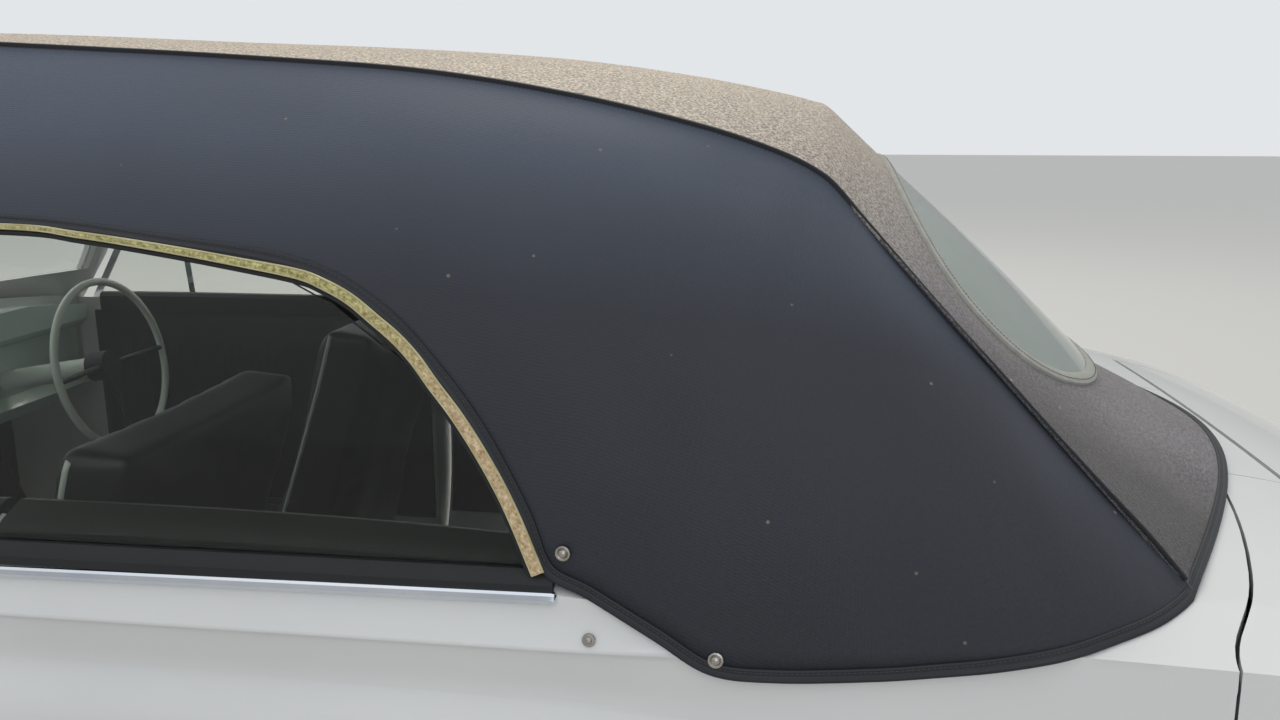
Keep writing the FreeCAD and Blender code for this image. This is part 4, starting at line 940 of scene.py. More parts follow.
# The strip's outer line, from the windscreen pillar to its foot on the belt, and its widths.
STRIP_OUTER = (
    (-0.420, 0.7005, 1.1965), (0.000, 0.7005, 1.1965), (0.304, 0.7010, 1.1960),
    (0.3925, 0.7020, 1.1892), (0.480, 0.7035, 1.1787), (0.5646, 0.7053, 1.1665),
    (0.6259, 0.7067, 1.1569), (0.6537, 0.7080, 1.1478), (0.6813, 0.7100, 1.1340),
    (0.7077, 0.7129, 1.1144), (0.730, 0.7155, 1.0968), (0.7493, 0.7183, 1.0771),
    (0.7675, 0.7218, 1.0536), (0.7897, 0.7257, 1.0265), (0.8109, 0.7301, 0.9965),
    (0.8331, 0.7353, 0.9607), (0.8514, 0.7404, 0.9257), (0.8748, 0.7480, 0.8734),
)
STRIP_WIDTHS = (0.0045, 0.0045, 0.0045, 0.0055, 0.0068, 0.008, 0.0095, 0.0105, 0.011, 0.0115,
                0.0118, 0.012, 0.012, 0.0122, 0.0124, 0.0126, 0.0128, 0.0130)
STRIP_STEPS = 6
STRIP_LEAN = math.radians(8.3)


def window_stations():
    """Stations along the strip's outer line, each with its width there."""
    line = [Vector(p) for p in STRIP_OUTER]
    count = (len(line) - 1) * STRIP_STEPS
    spots = [smooth_between(line, i / STRIP_STEPS) for i in range(count + 1)]
    stations = []
    for i, spot in enumerate(spots):
        along = (spots[min(i + 1, len(spots) - 1)] - spots[max(i - 1, 0)]).normalized()
        out = Vector((0, math.cos(STRIP_LEAN), math.sin(STRIP_LEAN)))
        out = (out - along * out.dot(along)).normalized()
        inward = along.cross(out).normalized()
        inward = -inward if inward.z > 0 or (abs(inward.z) < 0.2 and inward.x > 0) else inward
        width = smooth_between(STRIP_WIDTHS, i / STRIP_STEPS)
        stations.append((spot, inward, out, width))
    return stations


strip_line = window_stations()
FELT_PROFILE = ((0.04, -0.004), (0.04, 0.0040), (0.20, 0.0052), (0.50, 0.0058), (0.90, 0.0048),
                (1.05, 0.0030), (1.05, -0.004))
solid_piece("window_felt_strips", both_sides(*sweep(strip_line, FELT_PROFILE)), felt, "body")
BEAD_RADIUS = 0.0011
EDGE_BEAD = [(BEAD_RADIUS * c, BEAD_RADIUS * s) for c, s in circle(6)]
edge_shapes = []
for share, lift in ((0.06, 0.0048), (0.98, 0.0040)):
    edge_path = [(p + a * share * w + u * lift, a, u) for p, a, u, w in strip_line]
    edge_shapes.append(both_sides(*sweep(edge_path, EDGE_BEAD)))
window_edges = joined(*edge_shapes)
LIP_PROFILE = ((0.0, -0.0045), (0.0, 0.0004), (0.0025, 0.0016), (0.0055, 0.0006),
               (0.0065, -0.0045))
lip_stations = [(p + a * w, a, u) for p, a, u, w in strip_line]
solid_piece("window_rubber_lips", both_sides(*sweep(lip_stations, LIP_PROFILE)), black_rubber,
            "body")


# Belt moulding of the rear quarters: a rounded strip of bright metal clipped to the skin just
# under the glass, with the black rubber lip that wipes the glass standing above it. The plate is
# buffed: near mirror, with soft cloudy patches and hair-fine polishing scratches.
bright_metal, tree, shader = finish("bright_plate", Metallic=1.0, Roughness=0.12)
haze = noise(tree, 14.0, 5.0)
rubbed = add_node(tree, "ShaderNodeMapping", {"Vector": here(tree), "Scale": (12.0, 900.0, 900.0)})
hairs = add_node(tree, "ShaderNodeTexNoise", {"Vector": rubbed.outputs[0], "Scale": 1.0})
surface(tree, shader, tones(tree, haze, "#D6DCE6", "#F4F6FA"),
        bump(tree, hairs.outputs["Fac"], 0.12, 0.0002),
        ranged(tree, haze, to_min=0.07, to_max=0.26))

MOULDING_START_X = 0.280
MOULDING_END_X = 0.883
MOULDING_STEPS = 24
MOULDING_Z = 0.8400
BELT_CLIMB = 0.0083
BELT_LEVEL_X = 0.295
BELT_RUN = 0.59
LIP_SHARE = 0.4
MOULDING_PROFILE = ((-0.0065, -0.002), (-0.0065, 0.0020), (-0.0052, 0.0046), (-0.0020, 0.0060),
                    (0.0028, 0.0056), (0.0054, 0.0040), (0.0065, 0.0014), (0.0065, -0.002))


def belt_rise(x):
    """How far the belt line has climbed at x, behind the door."""
    return BELT_CLIMB * (x - BELT_LEVEL_X) / BELT_RUN


MOULDING_XS = [MOULDING_START_X + (MOULDING_END_X - MOULDING_START_X) * i / MOULDING_STEPS
               for i in range(MOULDING_STEPS + 1)]
BELT_UP = Vector((0, -0.2, 0.98)).normalized()
BELT_OUT = Vector((0, 0.98, 0.2)).normalized()
belt_line = [(Vector((x, flank_y(x, z), z)), BELT_UP, BELT_OUT)
             for x, z in ((x, MOULDING_Z + belt_rise(x)) for x in MOULDING_XS)]
# The last stations draw in to the strip's rounded end.
last_spot = belt_line[-1][0]
belt_line += [(last_spot + Vector((step, 0, 0)), BELT_UP * share, BELT_OUT * share)
              for step, share in ((0.0025, 0.85), (0.0042, 0.55), (0.005, 0.2))]
solid_piece("quarter_belt_mouldings", both_sides(*sweep(belt_line, MOULDING_PROFILE)), bright_metal,
            "body", ["quarter_strips"])
BELT_LIP = ((0.7545, 0.848), (0.7535, 0.857), (0.7490, 0.8645), (0.7430, 0.8695), (0.7385, 0.870),
            (0.7385, 0.850))
lip_line = [(Vector((x, 0, belt_rise(x) * LIP_SHARE)), Vector((0, 1, 0)), Vector((0, 0, 1)))
            for x in MOULDING_XS]
solid_piece("quarter_glass_wipers", both_sides(*sweep(lip_line, BELT_LIP)), black_rubber, "body")


# Hood fasteners: raised-head screws in cup washers through the hem at each corner, and one bare
# stud on the body ahead of them.
def lathe(profile, count, place, axis, ends="capped"):
    """Points and faces of a (radius, height) outline spun about an axis through place."""
    axis = axis.normalized()
    side = axis.orthogonal().normalized()
    other = axis.cross(side)
    return tube([[place + axis * h + (side * c + other * s) * r for c, s in circle(count)]
                 for r, h in profile], ends)


WASHER_PROFILE = ((0.0070, -0.001), (0.0078, 0.0008), (0.0074, 0.0020), (0.0058, 0.0024),
                  (0.0046, 0.0016), (0.0042, 0.0020), (0.0036, 0.0034), (0.0020, 0.0044),
                  (0.0004, 0.0047))
STUD_PROFILE = ((0.0062, -0.001), (0.0068, 0.0006), (0.0060, 0.0016), (0.0036, 0.0018),
                (0.0032, 0.0040), (0.0018, 0.0050), (0.0004, 0.0052))
WASHER_LIFT = 0.003
STUD_X, STUD_Z = 0.921, 0.8142
corner, _, _, corner_out = side_frame(9.3, 0.05)
hem_spot = Vector((1.0425, 0.7640 + CLOTH_THICKNESS + WASHER_LIFT, 0.8033))
stud_spot = Vector((STUD_X, 0.7618 + swage(STUD_X, STUD_Z), STUD_Z))
screw_shapes = [both_sides(*lathe(*screw)) for screw in (
    (WASHER_PROFILE, 14, corner + corner_out * WASHER_LIFT, corner_out),
    (WASHER_PROFILE, 14, hem_spot, Vector((0, 0.97, 0.24))),
    (STUD_PROFILE, 12, stud_spot, Vector((0, 0.96, 0.28))))]
screw_steel = mottled("stainless_steel", "#8C8780", "#C4BEB4", 0.01, 0.001, 0.0003, Roughness=0.3,
                      Metallic=1.0)
solid_piece("hood_screws", joined(*screw_shapes), screw_steel, "body")
straw_metal = mottled("straw_channel_edge", "#A89A5C", "#E9E2BE", 0.02, 0.001, 0.0002,
                      Roughness=0.35, Metallic=0.4)
solid_piece("window_channel_edges", window_edges, straw_metal, "body")


# Stitches: black waxed thread in lockstitch along the bindings, the welts and the rear window's
# surround. Each loop that shows is one small bead of thread.
def stitch_tree():
    """Geometry nodes that lay one small thread loop after another along the object's edges."""
    tree = bpy.data.node_groups.new("stitch_run", "GeometryNodeTree")
    face = tree.interface
    face.new_socket("Geometry", in_out="INPUT", socket_type="NodeSocketGeometry")
    for title in ("Pitch", "Thread Width", "Thread Length"):
        face.new_socket(title, in_out="INPUT", socket_type="NodeSocketFloat")
    face.new_socket("Thread", in_out="INPUT", socket_type="NodeSocketMaterial")
    face.new_socket("Geometry", in_out="OUTPUT", socket_type="NodeSocketGeometry")
    entry = add_node(tree, "NodeGroupInput")
    path = add_node(tree, "GeometryNodeMeshToCurve", {"Mesh": entry.outputs["Geometry"]})
    spots = add_node(tree, "GeometryNodeCurveToPoints",
                     {"Curve": path.outputs[0], "Length": entry.outputs["Pitch"]}, mode="LENGTH")
    bead = add_node(tree, "GeometryNodeMeshUVSphere", {"Segments": 6, "Rings": 4, "Radius": 0.5})
    size = add_node(tree, "ShaderNodeCombineXYZ", {0: entry.outputs["Thread Width"],
                                                   1: entry.outputs["Thread Width"],
                                                   2: entry.outputs["Thread Length"]})
    laid = add_node(tree, "GeometryNodeInstanceOnPoints",
                    {"Points": spots.outputs["Points"], "Instance": bead.outputs["Mesh"],
                     "Rotation": spots.outputs["Rotation"], "Scale": size.outputs[0]})
    real = add_node(tree, "GeometryNodeRealizeInstances", {0: laid.outputs[0]})
    darkened = add_node(tree, "GeometryNodeSetMaterial", {"Geometry": real.outputs[0],
                                                      "Material": entry.outputs["Thread"]})
    leave = tree.nodes.new("NodeGroupOutput")
    tree.links.new(darkened.outputs[0], leave.inputs[0])
    return tree


STITCH_TREE = stitch_tree()


def evaluated_mesh(thing):
    """The mesh that an object's modifiers make of it."""
    graph = bpy.context.evaluated_depsgraph_get()
    return bpy.data.meshes.new_from_object(thing.evaluated_get(graph), depsgraph=graph)


def run_nodes(name, mesh, tree, values):
    """Mesh that a node tree makes from a mesh, with its named inputs set before it runs."""
    carrier = added(name, mesh)
    modifier = carrier.modifiers.new(name, "NODES")
    modifier.node_group = tree
    for item in tree.interface.items_tree:
        if item.item_type == "SOCKET" and item.in_out == "INPUT" and item.name in values:
            modifier[item.identifier] = values[item.name]
    made = evaluated_mesh(carrier)
    made.name = name
    bpy.data.objects.remove(carrier)
    return made


thread = mottled("waxed_thread", "#1B1C1F", "#4A4A4C", 0.004, 0.0008, 0.0002, Roughness=0.5)
STITCH = {"Pitch": 0.0048, "Thread Width": 0.0011, "Thread Length": 0.0038, "Thread": thread}


def stitches(name, lines):
    """Rows of stitches along open lines of points."""
    mesh = bpy.data.meshes.new(name + "_path")
    points, edges = [], []
    for line in lines:
        edges += [(len(points) + i, len(points) + i + 1) for i in range(len(line) - 1)]
        points += [tuple(p) for p in line]
    mesh.from_pydata(points, edges, [])
    place_mesh(name, run_nodes(name, mesh, STITCH_TREE, STITCH), "body")


hem_line = [p + a * 0.0068 + u * 0.0028 for p, a, u in full_hem]
seam_line = [p + a * 0.0092 + u * 0.0012 for p, a, u in seam_path]
stitches("hood_stitches", [hem_line, seam_line, [flipped(p) for p in seam_line]])
surround_line = oval_ring(0.0035, 0.0048)
stitches("rear_window_stitches", [surround_line + surround_line[:1]])


# Side glass and windscreen: toughened sheet, almost clear, with a thin uneven film of dust. The
# door glass runs in the door's channels and the rest is set in rubber.
window_glass, tree, shader = finish("car_glass", Transmission_Weight=1.0, IOR=1.3,
                                    Specular_IOR_Level=0.25)
film = noise(tree, 5.0, 6.0, 0.7)
surface(tree, shader, tones(tree, film, "#EEF2EE", "#F7F9F7"),
        rough=ranged(tree, film, 0.4, 0.8, 0.0, 0.03))


def dress(material, *nodes):
    """Gives CAD nodes whose shape is right their finished material."""
    for node in nodes:
        for place in frame["nodes"][node].material_slots:
            place.material = material


dress(window_glass, "door_glass_left", "door_glass_right", "quarter_glass", "windscreen_glass")


# Windscreen frame, quarterlight frames, door handles and door mouldings: bright and painted
# metal round the glass.
skin_copy("windscreen_frame", "windscreen_surround", white_enamel)
for side in ("left", "right"):
    skin_copy("door_trim_" + side, "door_brightwork_" + side, bright_metal)


# Cabin trim: rolls of padded leathercloth along the window sills, fluted cards on the doors and
# beside the rear seat, all in one dark grey.
leathercloth, tree, shader = finish("dark_leathercloth", Roughness=0.48)
pores = add_node(tree, "ShaderNodeTexVoronoi", {"Vector": here(tree), "Scale": 420.0})
sag = noise(tree, 7.0, 5.0)
surface(tree, shader, tones(tree, sag, "#111412", "#20251F"),
        bump(tree, pores.outputs["Distance"], 0.2, 0.0005),
        ranged(tree, sag, to_min=0.36, to_max=0.6))

CAPPING_PROFILE = ((0.7330, 0.8600), (0.7330, 0.8715), (0.7200, 0.8815), (0.7040, 0.8880),
                   (0.6900, 0.8935), (0.6810, 0.8915), (0.6760, 0.8840), (0.6750, 0.8720),
                   (0.6760, 0.8450), (0.6830, 0.8440), (0.6845, 0.8780), (0.6900, 0.8850),
                   (0.7060, 0.8775), (0.7200, 0.8712), (0.7280, 0.8650))
CAPPING_STEPS = 18
CAPPING_BELT_Y = 0.748


def capping(start, end, side):
    """Padded roll along one side's window sill from start to end."""
    stations = []
    for i in range(CAPPING_STEPS + 1):
        x = start + (end - start) * i / CAPPING_STEPS
        belt_y, belt_z = body_lines(x)[3]
        foot = Vector((x, side * (belt_y - CAPPING_BELT_Y), belt_z - BELT_Z))
        stations.append((foot, Vector((0, side, 0)), Vector((0, 0, 1))))
    return sweep(stations, CAPPING_PROFILE)


CARD_STAND_OFF = 0.029
CARD_THICKNESS = 0.006
CARD_LOW = 0.345
CARD_HIGH = 0.842
CARD_ROWS = 26
CARD_COLUMN = 0.009
CARD_PUFF = 0.0045
FLUTE_PITCH = 0.045
FLUTE_DEPTH = 0.005
FLUTE_LOW, FLUTE_HIGH = 0.30, 0.86


def trim_card(start, end, side, flutes, inner_face):
    """Padded card that follows the side of the body, with upright flutes sewn in its middle."""
    columns, rows = int((end - start) / CARD_COLUMN), CARD_ROWS
    points = []
    for layer in (0, 1):
        for i in range(columns + 1):
            x = start + (end - start) * i / columns
            for j in range(rows + 1):
                z = CARD_LOW + (CARD_HIGH - CARD_LOW) * j / rows
                puff = CARD_PUFF * min(min(i, columns - i, j, rows - j) / 2, 1)
                if flutes and FLUTE_LOW < j / rows < FLUTE_HIGH and 4 < i < columns - 4:
                    puff += FLUTE_DEPTH * abs(math.sin(math.pi * (x - start) / FLUTE_PITCH))
                y = min(flank_y(x, z) - CARD_STAND_OFF, inner_face)
                y -= CARD_THICKNESS + puff if layer else 0
                points.append(Vector((x, side * y, z)))
    n = (columns + 1) * (rows + 1)
    faces = grid_faces(0, columns, rows) + grid_faces(n, columns, rows)
    rim = [i * (rows + 1) for i in range(columns + 1)]
    rim += [columns * (rows + 1) + j for j in range(1, rows + 1)]
    rim += [i * (rows + 1) + rows for i in range(columns - 1, -1, -1)]
    rim += range(rows - 1, 0, -1)
    faces += [(rim[k], rim[(k + 1) % len(rim)], n + rim[(k + 1) % len(rim)], n + rim[k])
              for k in range(len(rim))]
    return points, faces


DOOR_INNER_Y = 0.6995
DOOR_ROLL = (-0.560, 0.262)
DOOR_CARD = (-0.590, 0.258)
QUARTER_ROLL = (0.278, 0.860)
QUARTER_CARD = (0.282, 0.735)
for side, name in ((-1, "left"), (1, "right")):
    for part, shape in (("door_sill_roll_", capping(*DOOR_ROLL, side)),
                        ("door_card_", trim_card(*DOOR_CARD, side, True, DOOR_INNER_Y))):
        solid_piece(part + name, shape, leathercloth, "door_" + name)
quarter_rolls = joined(*(capping(*QUARTER_ROLL, side) for side in (1, -1)))
solid_piece("quarter_sill_rolls", quarter_rolls, leathercloth, "body")
quarter_cards = joined(*(trim_card(*QUARTER_CARD, side, False, HALF_WIDTH) for side in (1, -1)))
solid_piece("quarter_cards", quarter_cards, leathercloth, "body")


# Cabin floor: looped carpet with a rolled edge, laid on both sides of the tunnel, and the black
# painted sheet panels, hood bows and seat frames round it.
carpet = mottled("looped_carpet", "#17191A", "#3A3D3C", 0.02, 0.003, 0.003, Roughness=0.95,
                 Sheen_Weight=0.3)
CARPET_Z = 0.2135
CARPET_PILE = 0.006
CARPET_ROLL = 0.005
CARPET_SPAN = (-0.735, 0.885, 0.125, 0.640)


def carpet_mat(x0, x1, y0, y1):
    """Mat with a rolled edge, lying on the floor."""
    rings = []
    for d, height in ((0, 0), (0, CARPET_PILE * 0.7), (CARPET_ROLL, CARPET_PILE)):
        corners = ((x0 + d, y0 + d), (x1 - d, y0 + d), (x1 - d, y1 - d), (x0 + d, y1 - d))
        rings.append([Vector((x, y, CARPET_Z + height)) for x, y in corners])
    return tube(rings)


solid_piece("cabin_carpet", both_sides(*carpet_mat(*CARPET_SPAN)), carpet, "body")
panel_paint = mottled("black_panel_paint", "#121315", "#26282A", 0.12, 0.004, 0.0004, Roughness=0.6)
dress(panel_paint, "inner_panels", "hood_frame", "seat_bases")


# Seats: sprung pads in dark leathercloth, stuffed tight, with sewn channels in the faces that
# are sat on and leant on, and pale piping round the front seats' edges.
pale_piping = mottled("pale_piping", "#C4CBBE", "#DDE2D6", 0.03, 0.001, 0.0002, Roughness=0.4)
PAD_SHRINK = 0.012
PAD_CAP = 0.024
PAD_VOXEL = 0.014
PAD_PRESSURE = 4
PAD_STIFFNESS = 25
REAR_SHRINK = 0.010
STUFFING_FRAMES = 20
PIPING_RADIUS = 0.0042
PIPING_STEP = 0.02
PIPING_INSET = 0.004
CHANNEL_DEPTH = 0.006
CHANNEL_PITCH = 0.062
CHANNEL_WIDTH = 0.009
CHANNEL_MARGIN = 0.085
FACE_LIMIT = 0.55


def prism(outline, low, high, along=False):
    """Block: an (x, z) outline carried across the car, or a (y, z) one carried along it."""
    n = len(outline)
    points = [Vector((d, a, z) if along else (a, d, z)) for d in (low, high) for a, z in outline]
    faces = [tuple(range(n - 1, -1, -1)), tuple(range(n, 2 * n))]
    faces += [(k, (k + 1) % n, n + (k + 1) % n, n + k) for k in range(n)]
    return points, faces


def shrunk(shape, amount):
    """The same block with every corner moved in along each axis."""
    points, faces = shape
    middle = sum(points, Vector()) / len(points)
    return [Vector(c + math.copysign(amount, m - c) for c, m in zip(p, middle))
            for p in points], faces


def remeshed(name, shape):
    """Object with an even mesh of the block, ready for the cloth solver."""
    pad = added(name, face_outward(mesh_from(name, *shape, leathercloth)))
    remesh = pad.modifiers.new("even", "REMESH")
    remesh.mode = "VOXEL"
    remesh.voxel_size = PAD_VOXEL
    even = evaluated_mesh(pad)
    pad.modifiers.clear()
    pad.data = even
    return pad


def inflate(pads):
    """Swells the pads against their own covers with the cloth solver, and keeps the result."""
    for pad in pads:
        cloth = pad.modifiers.new("stuffing", "CLOTH")
        cloth.settings.use_pressure = True
        cloth.settings.uniform_pressure_force = PAD_PRESSURE
        cloth.settings.effector_weights.gravity = 0
        cloth.settings.tension_stiffness = cloth.settings.compression_stiffness = PAD_STIFFNESS
        cloth.collision_settings.use_collision = False
        cloth.point_cache.frame_end = STUFFING_FRAMES
    scene = bpy.context.scene
    for number in range(1, STUFFING_FRAMES + 1):
        scene.frame_set(number)
    swollen = [evaluated_mesh(pad) for pad in pads]
    for pad, after in zip(pads, swollen):
        pad.modifiers.clear()
        for vert, end in zip(pad.data.vertices, after.vertices):
            step = end.co - vert.co
            vert.co = vert.co + step * min(1.0, PAD_CAP / max(step.length, 1e-9))
    scene.frame_set(1)


def upholster(pad, facing, span):
    """Rounds a pad's cover and presses its sewn channels into the face that looks along facing."""
    smooth = pad.modifiers.new("cover", "SUBSURF")
    smooth.levels = smooth.render_levels = 1
    cover = evaluated_mesh(pad)
    pad.modifiers.clear()
    pad.data = cover
    low, high = span
    normals = [v.normal.copy() for v in cover.vertices]
    for vert, normal in zip(cover.vertices, normals):
        y = vert.co.y
        share = max(normal.dot(facing) - FACE_LIMIT, 0) / (1 - FACE_LIMIT)
        if share > 0 and low < y < high:
            d = abs((y - low + CHANNEL_PITCH / 2) % CHANNEL_PITCH - CHANNEL_PITCH / 2)
            depth = CHANNEL_DEPTH * share * math.exp(-(d / CHANNEL_WIDTH) ** 2)
            vert.co = vert.co - normal * depth
    cover.polygons.foreach_set("use_smooth", [True] * len(cover.polygons))


def piping(name, pads, loops):
    """Pale piping laid on the pads' covers along lines of points; longer ones are closed."""
    shapes = []
    for pad, loop in zip(pads, loops):
        dense = []
        closed = len(loop) > 2
        for a, b in zip(loop, loop[1:] + loop[:1] * closed):
            count = max(int((b - a).length / PIPING_STEP), 1)
            dense += [a.lerp(b, k / count) for k in range(count)]
        laid = [pad.closest_point_on_mesh(spot)[1:3] for spot in dense]
        spots = [place for place, _ in laid]
        n = len(spots)
        smooth = [(spots[i - 1] + spots[i] * 2 + spots[(i + 1) % n]) / 4
                  if closed or 0 < i < n - 1 else spots[i] for i in range(n)]
        rings = []
        for i in range(n):
            ahead = (i + 1) % n if closed else min(i + 1, n - 1)
            behind = i - 1 if closed else max(i - 1, 0)
            along = (smooth[ahead] - smooth[behind]).normalized()
            out = laid[i][1]
            side = along.cross(out).normalized()
            rings.append([smooth[i] + (side * c + out * s) * PIPING_RADIUS for c, s in circle(6)])
        shapes.append(tube(rings, "joined" if closed else "capped"))
    return solid_piece(name, joined(*shapes), pale_piping, "body", sharp=math.pi)


SEAT_INNER_Y = 0.122
SEAT_OUTER_Y = 0.622
CUSHION_OUTLINE = ((-0.460, 0.450), (0.040, 0.415), (0.040, 0.300), (-0.450, 0.300))
BACK_OUTLINE = ((0.046, 0.330), (0.2748, 0.950), (0.3598, 0.938), (0.160, 0.320))
REAR_CUSHION_OUTLINE = ((-0.488, 0.308), (-0.118, 0.308), (-0.118, 0.352), (0.118, 0.352),
                        (0.118, 0.308), (0.488, 0.308), (0.488, 0.450), (-0.488, 0.450))
REAR_BACK_OUTLINE = ((1.004, 0.458), (1.140, 0.800), (1.236, 0.800), (1.236, 0.700),
                     (1.128, 0.458))
REAR_CUSHION_X = (0.582, 0.998)
REAR_HALF = 0.488
REAR_CHANNELS_HALF = 0.42
UP = Vector((0, 0, 1))
BACK_FACING = Vector((-0.938, 0, 0.346))
pads, plans = [], []
for side, name in ((-1, "left"), (1, "right")):
    y0, y1 = sorted((side * SEAT_INNER_Y, side * SEAT_OUTER_Y))
    for part, outline, facing, node in (("seat_cushion_", CUSHION_OUTLINE, UP, "seat_cushions"),
                                        ("seat_back_", BACK_OUTLINE, BACK_FACING, "seat_backs")):
        pads.append(remeshed(part + name, shrunk(prism(outline, y0, y1), PAD_SHRINK)))
        plans.append((facing, (y0 + CHANNEL_MARGIN, y1 - CHANNEL_MARGIN), node))
for name, shape, facing in (
        ("rear_cushion", prism(REAR_CUSHION_OUTLINE, *REAR_CUSHION_X, True), UP),
        ("rear_seat_back", prism(REAR_BACK_OUTLINE, -REAR_HALF, REAR_HALF), BACK_FACING)):
    pads.append(remeshed(name, shrunk(shape, REAR_SHRINK)))
    plans.append((facing, (-REAR_CHANNELS_HALF, REAR_CHANNELS_HALF), "rear_seat"))
inflate(pads)
for pad, (facing, span, node) in zip(pads, plans):
    upholster(pad, facing, span)
    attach(pad, "body")
    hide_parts(node)

# The piping goes round the cushion's top and up both edges of the back, in (x, z).
CUSHION_PIPING = ((-0.456, 0.446), (0.036, 0.411))
BACK_PIPING = ((0.060, 0.370), (0.268, 0.935))
loops = []
for side in (-1, 1):
    low, high = sorted((side * SEAT_INNER_Y, side * SEAT_OUTER_Y))
    y0, y1 = low + PIPING_INSET, high - PIPING_INSET
    loops.append([Vector((x, y, z)) for (x, z), ys in zip(CUSHION_PIPING, ((y0, y1), (y1, y0)))
                  for y in ys])
    loops += [[Vector((x, y, z)) for x, z in BACK_PIPING] for y in (y0, y1)]
piping("seat_piping", [pads[0], pads[1], pads[1], pads[2], pads[3], pads[3]], loops)


# Fascia, steering wheel and column: pale mint enamel, an ivory plastic rim and boss; pedals and
# levers are black with rubber pads.
mint_enamel = mottled("mint_enamel", "#D3EBDD", "#E4F5EA", 0.30, 0.002, 0.0001, Roughness=0.3,
                      Coat_Weight=0.6, Coat_Roughness=0.08)
ivory_plastic = mottled("ivory_plastic", "#DDE9DB", "#EFF6EB", 0.08, 0.003, 0.0001, Roughness=0.28,
                        Subsurface_Weight=0.05)
skin_copy("dashboard", "fascia", mint_enamel)
rim = skin_copy("steering_wheel", "steering_wheel_rim", ivory_plastic)
rim.data.materials.append(black_rubber)
# Inside the rim, the spokes and the hub behind the boss are black.
WHEEL_CENTRE = Vector((-0.365, 0.420, 0.775))
RIM_INNER_RADIUS = 0.170
for face in rim.data.polygons:
    if (face.center - WHEEL_CENTRE).length < RIM_INNER_RADIUS:
        face.material_index = 1
skin_copy("steering_column", "column_shroud", ivory_plastic)
skin_copy("controls", "pedals_and_levers", black_rubber)


# Bumpers and grille: steel pressings, plated bright. The bumpers are bolted to brackets on the
# chassis and the grille is set in the nose panel's opening.
for node in ("bumper_front", "bumper_rear", "grille"):
    skin_copy(node, node + "_plated", bright_metal)


# Headlamps and tail lamps: fluted glass over silvered bowls, held by plated rims, and red
# moulded plastic lenses screwed to the tail.
FLUTE_WIDTH = 0.008
STEP_HEIGHT = 0.006
# Upright flutes over a silvered bowl: a painted reflection, pale bands in the colour that stand for
# what the bowl mirrors, broken up by noise.
lamp_lens, tree, shader = finish("ribbed_lamp_glass", Roughness=0.08, Coat_Weight=1.0,
                                 Coat_Roughness=0.03, Specular_IOR_Level=0.8)
flutes = add_node(tree, "ShaderNodeTexWave", {"Vector": here(tree), "Distortion": 0.4,
                                              "Scale": math.pi / 10 / FLUTE_WIDTH},
                  bands_direction="Y").outputs["Fac"]
painted_bowl_reflection = maths(tree, "MULTIPLY", flutes, noise(tree, 22.0))
surface(tree, shader, tones(tree, painted_bowl_reflection, "#7F868B", "#E8ECEE"), bump(tree, flutes, 0.5, 0.0015))
red_lens, tree, shader = finish("red_moulded_lens", Roughness=0.12, Coat_Weight=1.0,
                                Coat_Roughness=0.04, Transmission_Weight=0.25)
steps = add_node(tree, "ShaderNodeTexWave", {"Vector": here(tree),
                                             "Scale": math.pi / 10 / STEP_HEIGHT},
                 bands_direction="Z").outputs["Fac"]
surface(tree, shader, tones(tree, steps, "#5E0B0C", "#B01F1C"), bump(tree, steps, 0.4, 0.001))
skin_copy("headlamps", "headlamp_lenses", lamp_lens)
skin_copy("tail_lamps", "tail_lamp_lenses", red_lens)


# Plated rims that are pressed over the headlamp openings and hold the lenses.
RIM_PROFILE = ((0.0835, 0.0), (0.0850, 0.0035), (0.0885, 0.0058), (0.0935, 0.0060),
               (0.0980, 0.0040), (0.1000, 0.0000), (0.1000, -0.0060), (0.0994, -0.0062),
               (0.0990, -0.0006), (0.0840, -0.0006))
LAMP_SPOT = Vector((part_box("headlamps")[0][0] - 0.012, 0.610, 0.605))
solid_piece("headlamp_rims", both_sides(*lathe(RIM_PROFILE, 48, LAMP_SPOT, AHEAD, "joined")),
            bright_metal, "body")


# Wheels: pressed steel discs in pale enamel with plated caps snapped on, and black cross-ply
# tyres on their rims.
wheel_paint = mottled("wheel_enamel", "#C9C8C2", "#DDDCD6", 0.10, 0.002, 0.0001, Roughness=0.35,
                      Coat_Weight=0.5, Coat_Roughness=0.1)
# Ribs with a zigzag groove round the tread, fine rings and dust on the walls.
tyre_rubber, tree, shader = finish("tyre_rubber", Roughness=0.78)
roll_uv = add_node(tree, "ShaderNodeUVMap", uv_map="tread").outputs[0]
round_run, across_run, _ = add_node(tree, "ShaderNodeSeparateXYZ", {0: roll_uv}).outputs
zigzag = maths(tree, "ADD", maths(tree, "PINGPONG", round_run, 0.012), across_run)
cut = ranged(tree, maths(tree, "PINGPONG", zigzag, 0.011), 0.0015, 0.003)
away = maths(tree, "ABSOLUTE", across_run)
wall_rings = maths(tree, "MULTIPLY", maths(tree, "PINGPONG", away, 0.006), 60.0)
relief = add_node(tree, "ShaderNodeMix", {0: ranged(tree, away, 0.058, 0.062), 2: cut,
                                          3: wall_rings}).outputs[0]
rubber_tone = tones(tree, noise(tree, 18.0, 6.0), "#151515", "#37342F")
# Painted shade: the colour darkens with the relief, so the grooves and the hollows between the wall
# rings are painted near black.
surface(tree, shader, tones(tree, relief, "#0B0B0B", rubber_tone),
        bump(tree, relief, 0.9, 0.004))

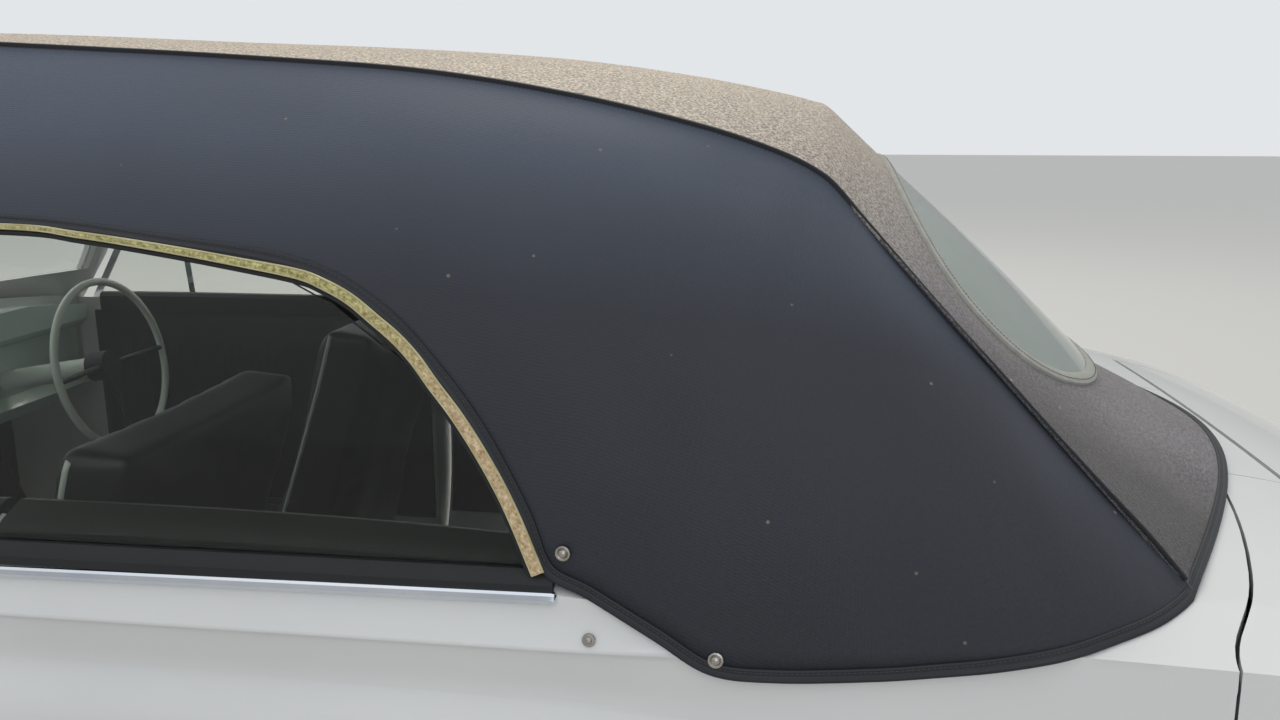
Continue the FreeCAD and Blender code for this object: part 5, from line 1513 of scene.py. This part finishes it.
TYRE_PROFILE = ((0.188, 0.058), (0.200, 0.068), (0.222, 0.078), (0.250, 0.0820),
                (0.277, 0.0800), (0.298, 0.0710), (0.3085, 0.058), (0.3135, 0.036),
                (0.3150, 0.012))
TYRE_SEGMENTS = 40
AXLE_Z = 0.315
TRACK_HALF = 0.650
FRONT_AXLE_X = -1.400
REAR_AXLE_X = 1.100
CAP_PROFILE = ((0.106, 0.0), (0.110, 0.002), (0.109, 0.005), (0.104, 0.007), (0.098, 0.0065),
               (0.090, 0.013), (0.072, 0.022), (0.048, 0.028), (0.044, 0.033), (0.030, 0.0365),
               (0.002, 0.038))
DISC_FACE_Y = 0.674


def tyre_mesh(name, x, side):
    """Tyre spun about its axle, with the distance round and across it as UVs."""
    outline = list(TYRE_PROFILE) + [(r, -o) for r, o in reversed(TYRE_PROFILE)]
    rings = [[Vector((x + r * s, side * TRACK_HALF + o, AXLE_Z - r * c))
              for c, s in circle(TYRE_SEGMENTS)] for r, o in outline]
    run = [TYRE_PROFILE[-1][1]]
    inward = TYRE_PROFILE[::-1]
    for (r0, o0), (r1, o1) in zip(inward, inward[1:]):
        run.append(run[-1] + math.hypot(r1 - r0, o1 - o0))
    across = run[::-1] + [-d for d in run]
    mesh = face_outward(mesh_from(name, *tube(rings, "joined"), tyre_rubber))
    layer = mesh.uv_layers.new(name="tread")
    for face in mesh.polygons:
        middle = math.atan2(face.center.x - x, AXLE_Z - face.center.z)
        for k in face.loop_indices:
            number = mesh.loops[k].vertex_index
            spot = mesh.vertices[number].co
            turn = math.atan2(spot.x - x, AXLE_Z - spot.z)
            turn += 2 * math.pi * round((middle - turn) / (2 * math.pi))
            layer.data[k].uv = (turn * AXLE_Z, across[number // TYRE_SEGMENTS])
    return mesh


for end, x in (("front", FRONT_AXLE_X), ("rear", REAR_AXLE_X)):
    for name, side in (("left", -1), ("right", 1)):
        corner = "_%s_%s" % (end, name)
        skin_copy("wheel" + corner, "wheel" + corner + "_disc", wheel_paint)
        cap = lathe(CAP_PROFILE, 40, Vector((x, side * DISC_FACE_Y, AXLE_Z)), Vector((0, side, 0)))
        solid_piece("cap" + corner, cap, bright_metal, "wheel" + corner)
        place_mesh("cover" + corner, tyre_mesh("cover" + corner, x, side), "wheel" + corner,
                   ["tyre" + corner])


# Running gear: chassis members, axles and tank in dusty black paint, engine in grey enamel,
# exhaust of rusting steel, all bolted up under the floor.
road_dust = mottled("dusty_chassis_paint", "#17181A", "#3B3733", 0.15, 0.005, 0.0006,
                    Roughness=0.72)
engine_enamel = mottled("engine_enamel", "#5B605F", "#7B807E", 0.10, 0.003, 0.0006, Roughness=0.5)
scaled_steel = mottled("scaled_steel", "#4A3A30", "#8A8178", 0.06, 0.003, 0.0006, Metallic=0.6,
                       Roughness=0.62)
dress(road_dust, "chassis", "rear_axle", "knuckle_left", "knuckle_right", "fuel_tank")
dress(engine_enamel, "engine")
dress(scaled_steel, "exhaust")


# The whole car's box, over every piece that is shown in the render, plain solid or finished.
low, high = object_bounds()
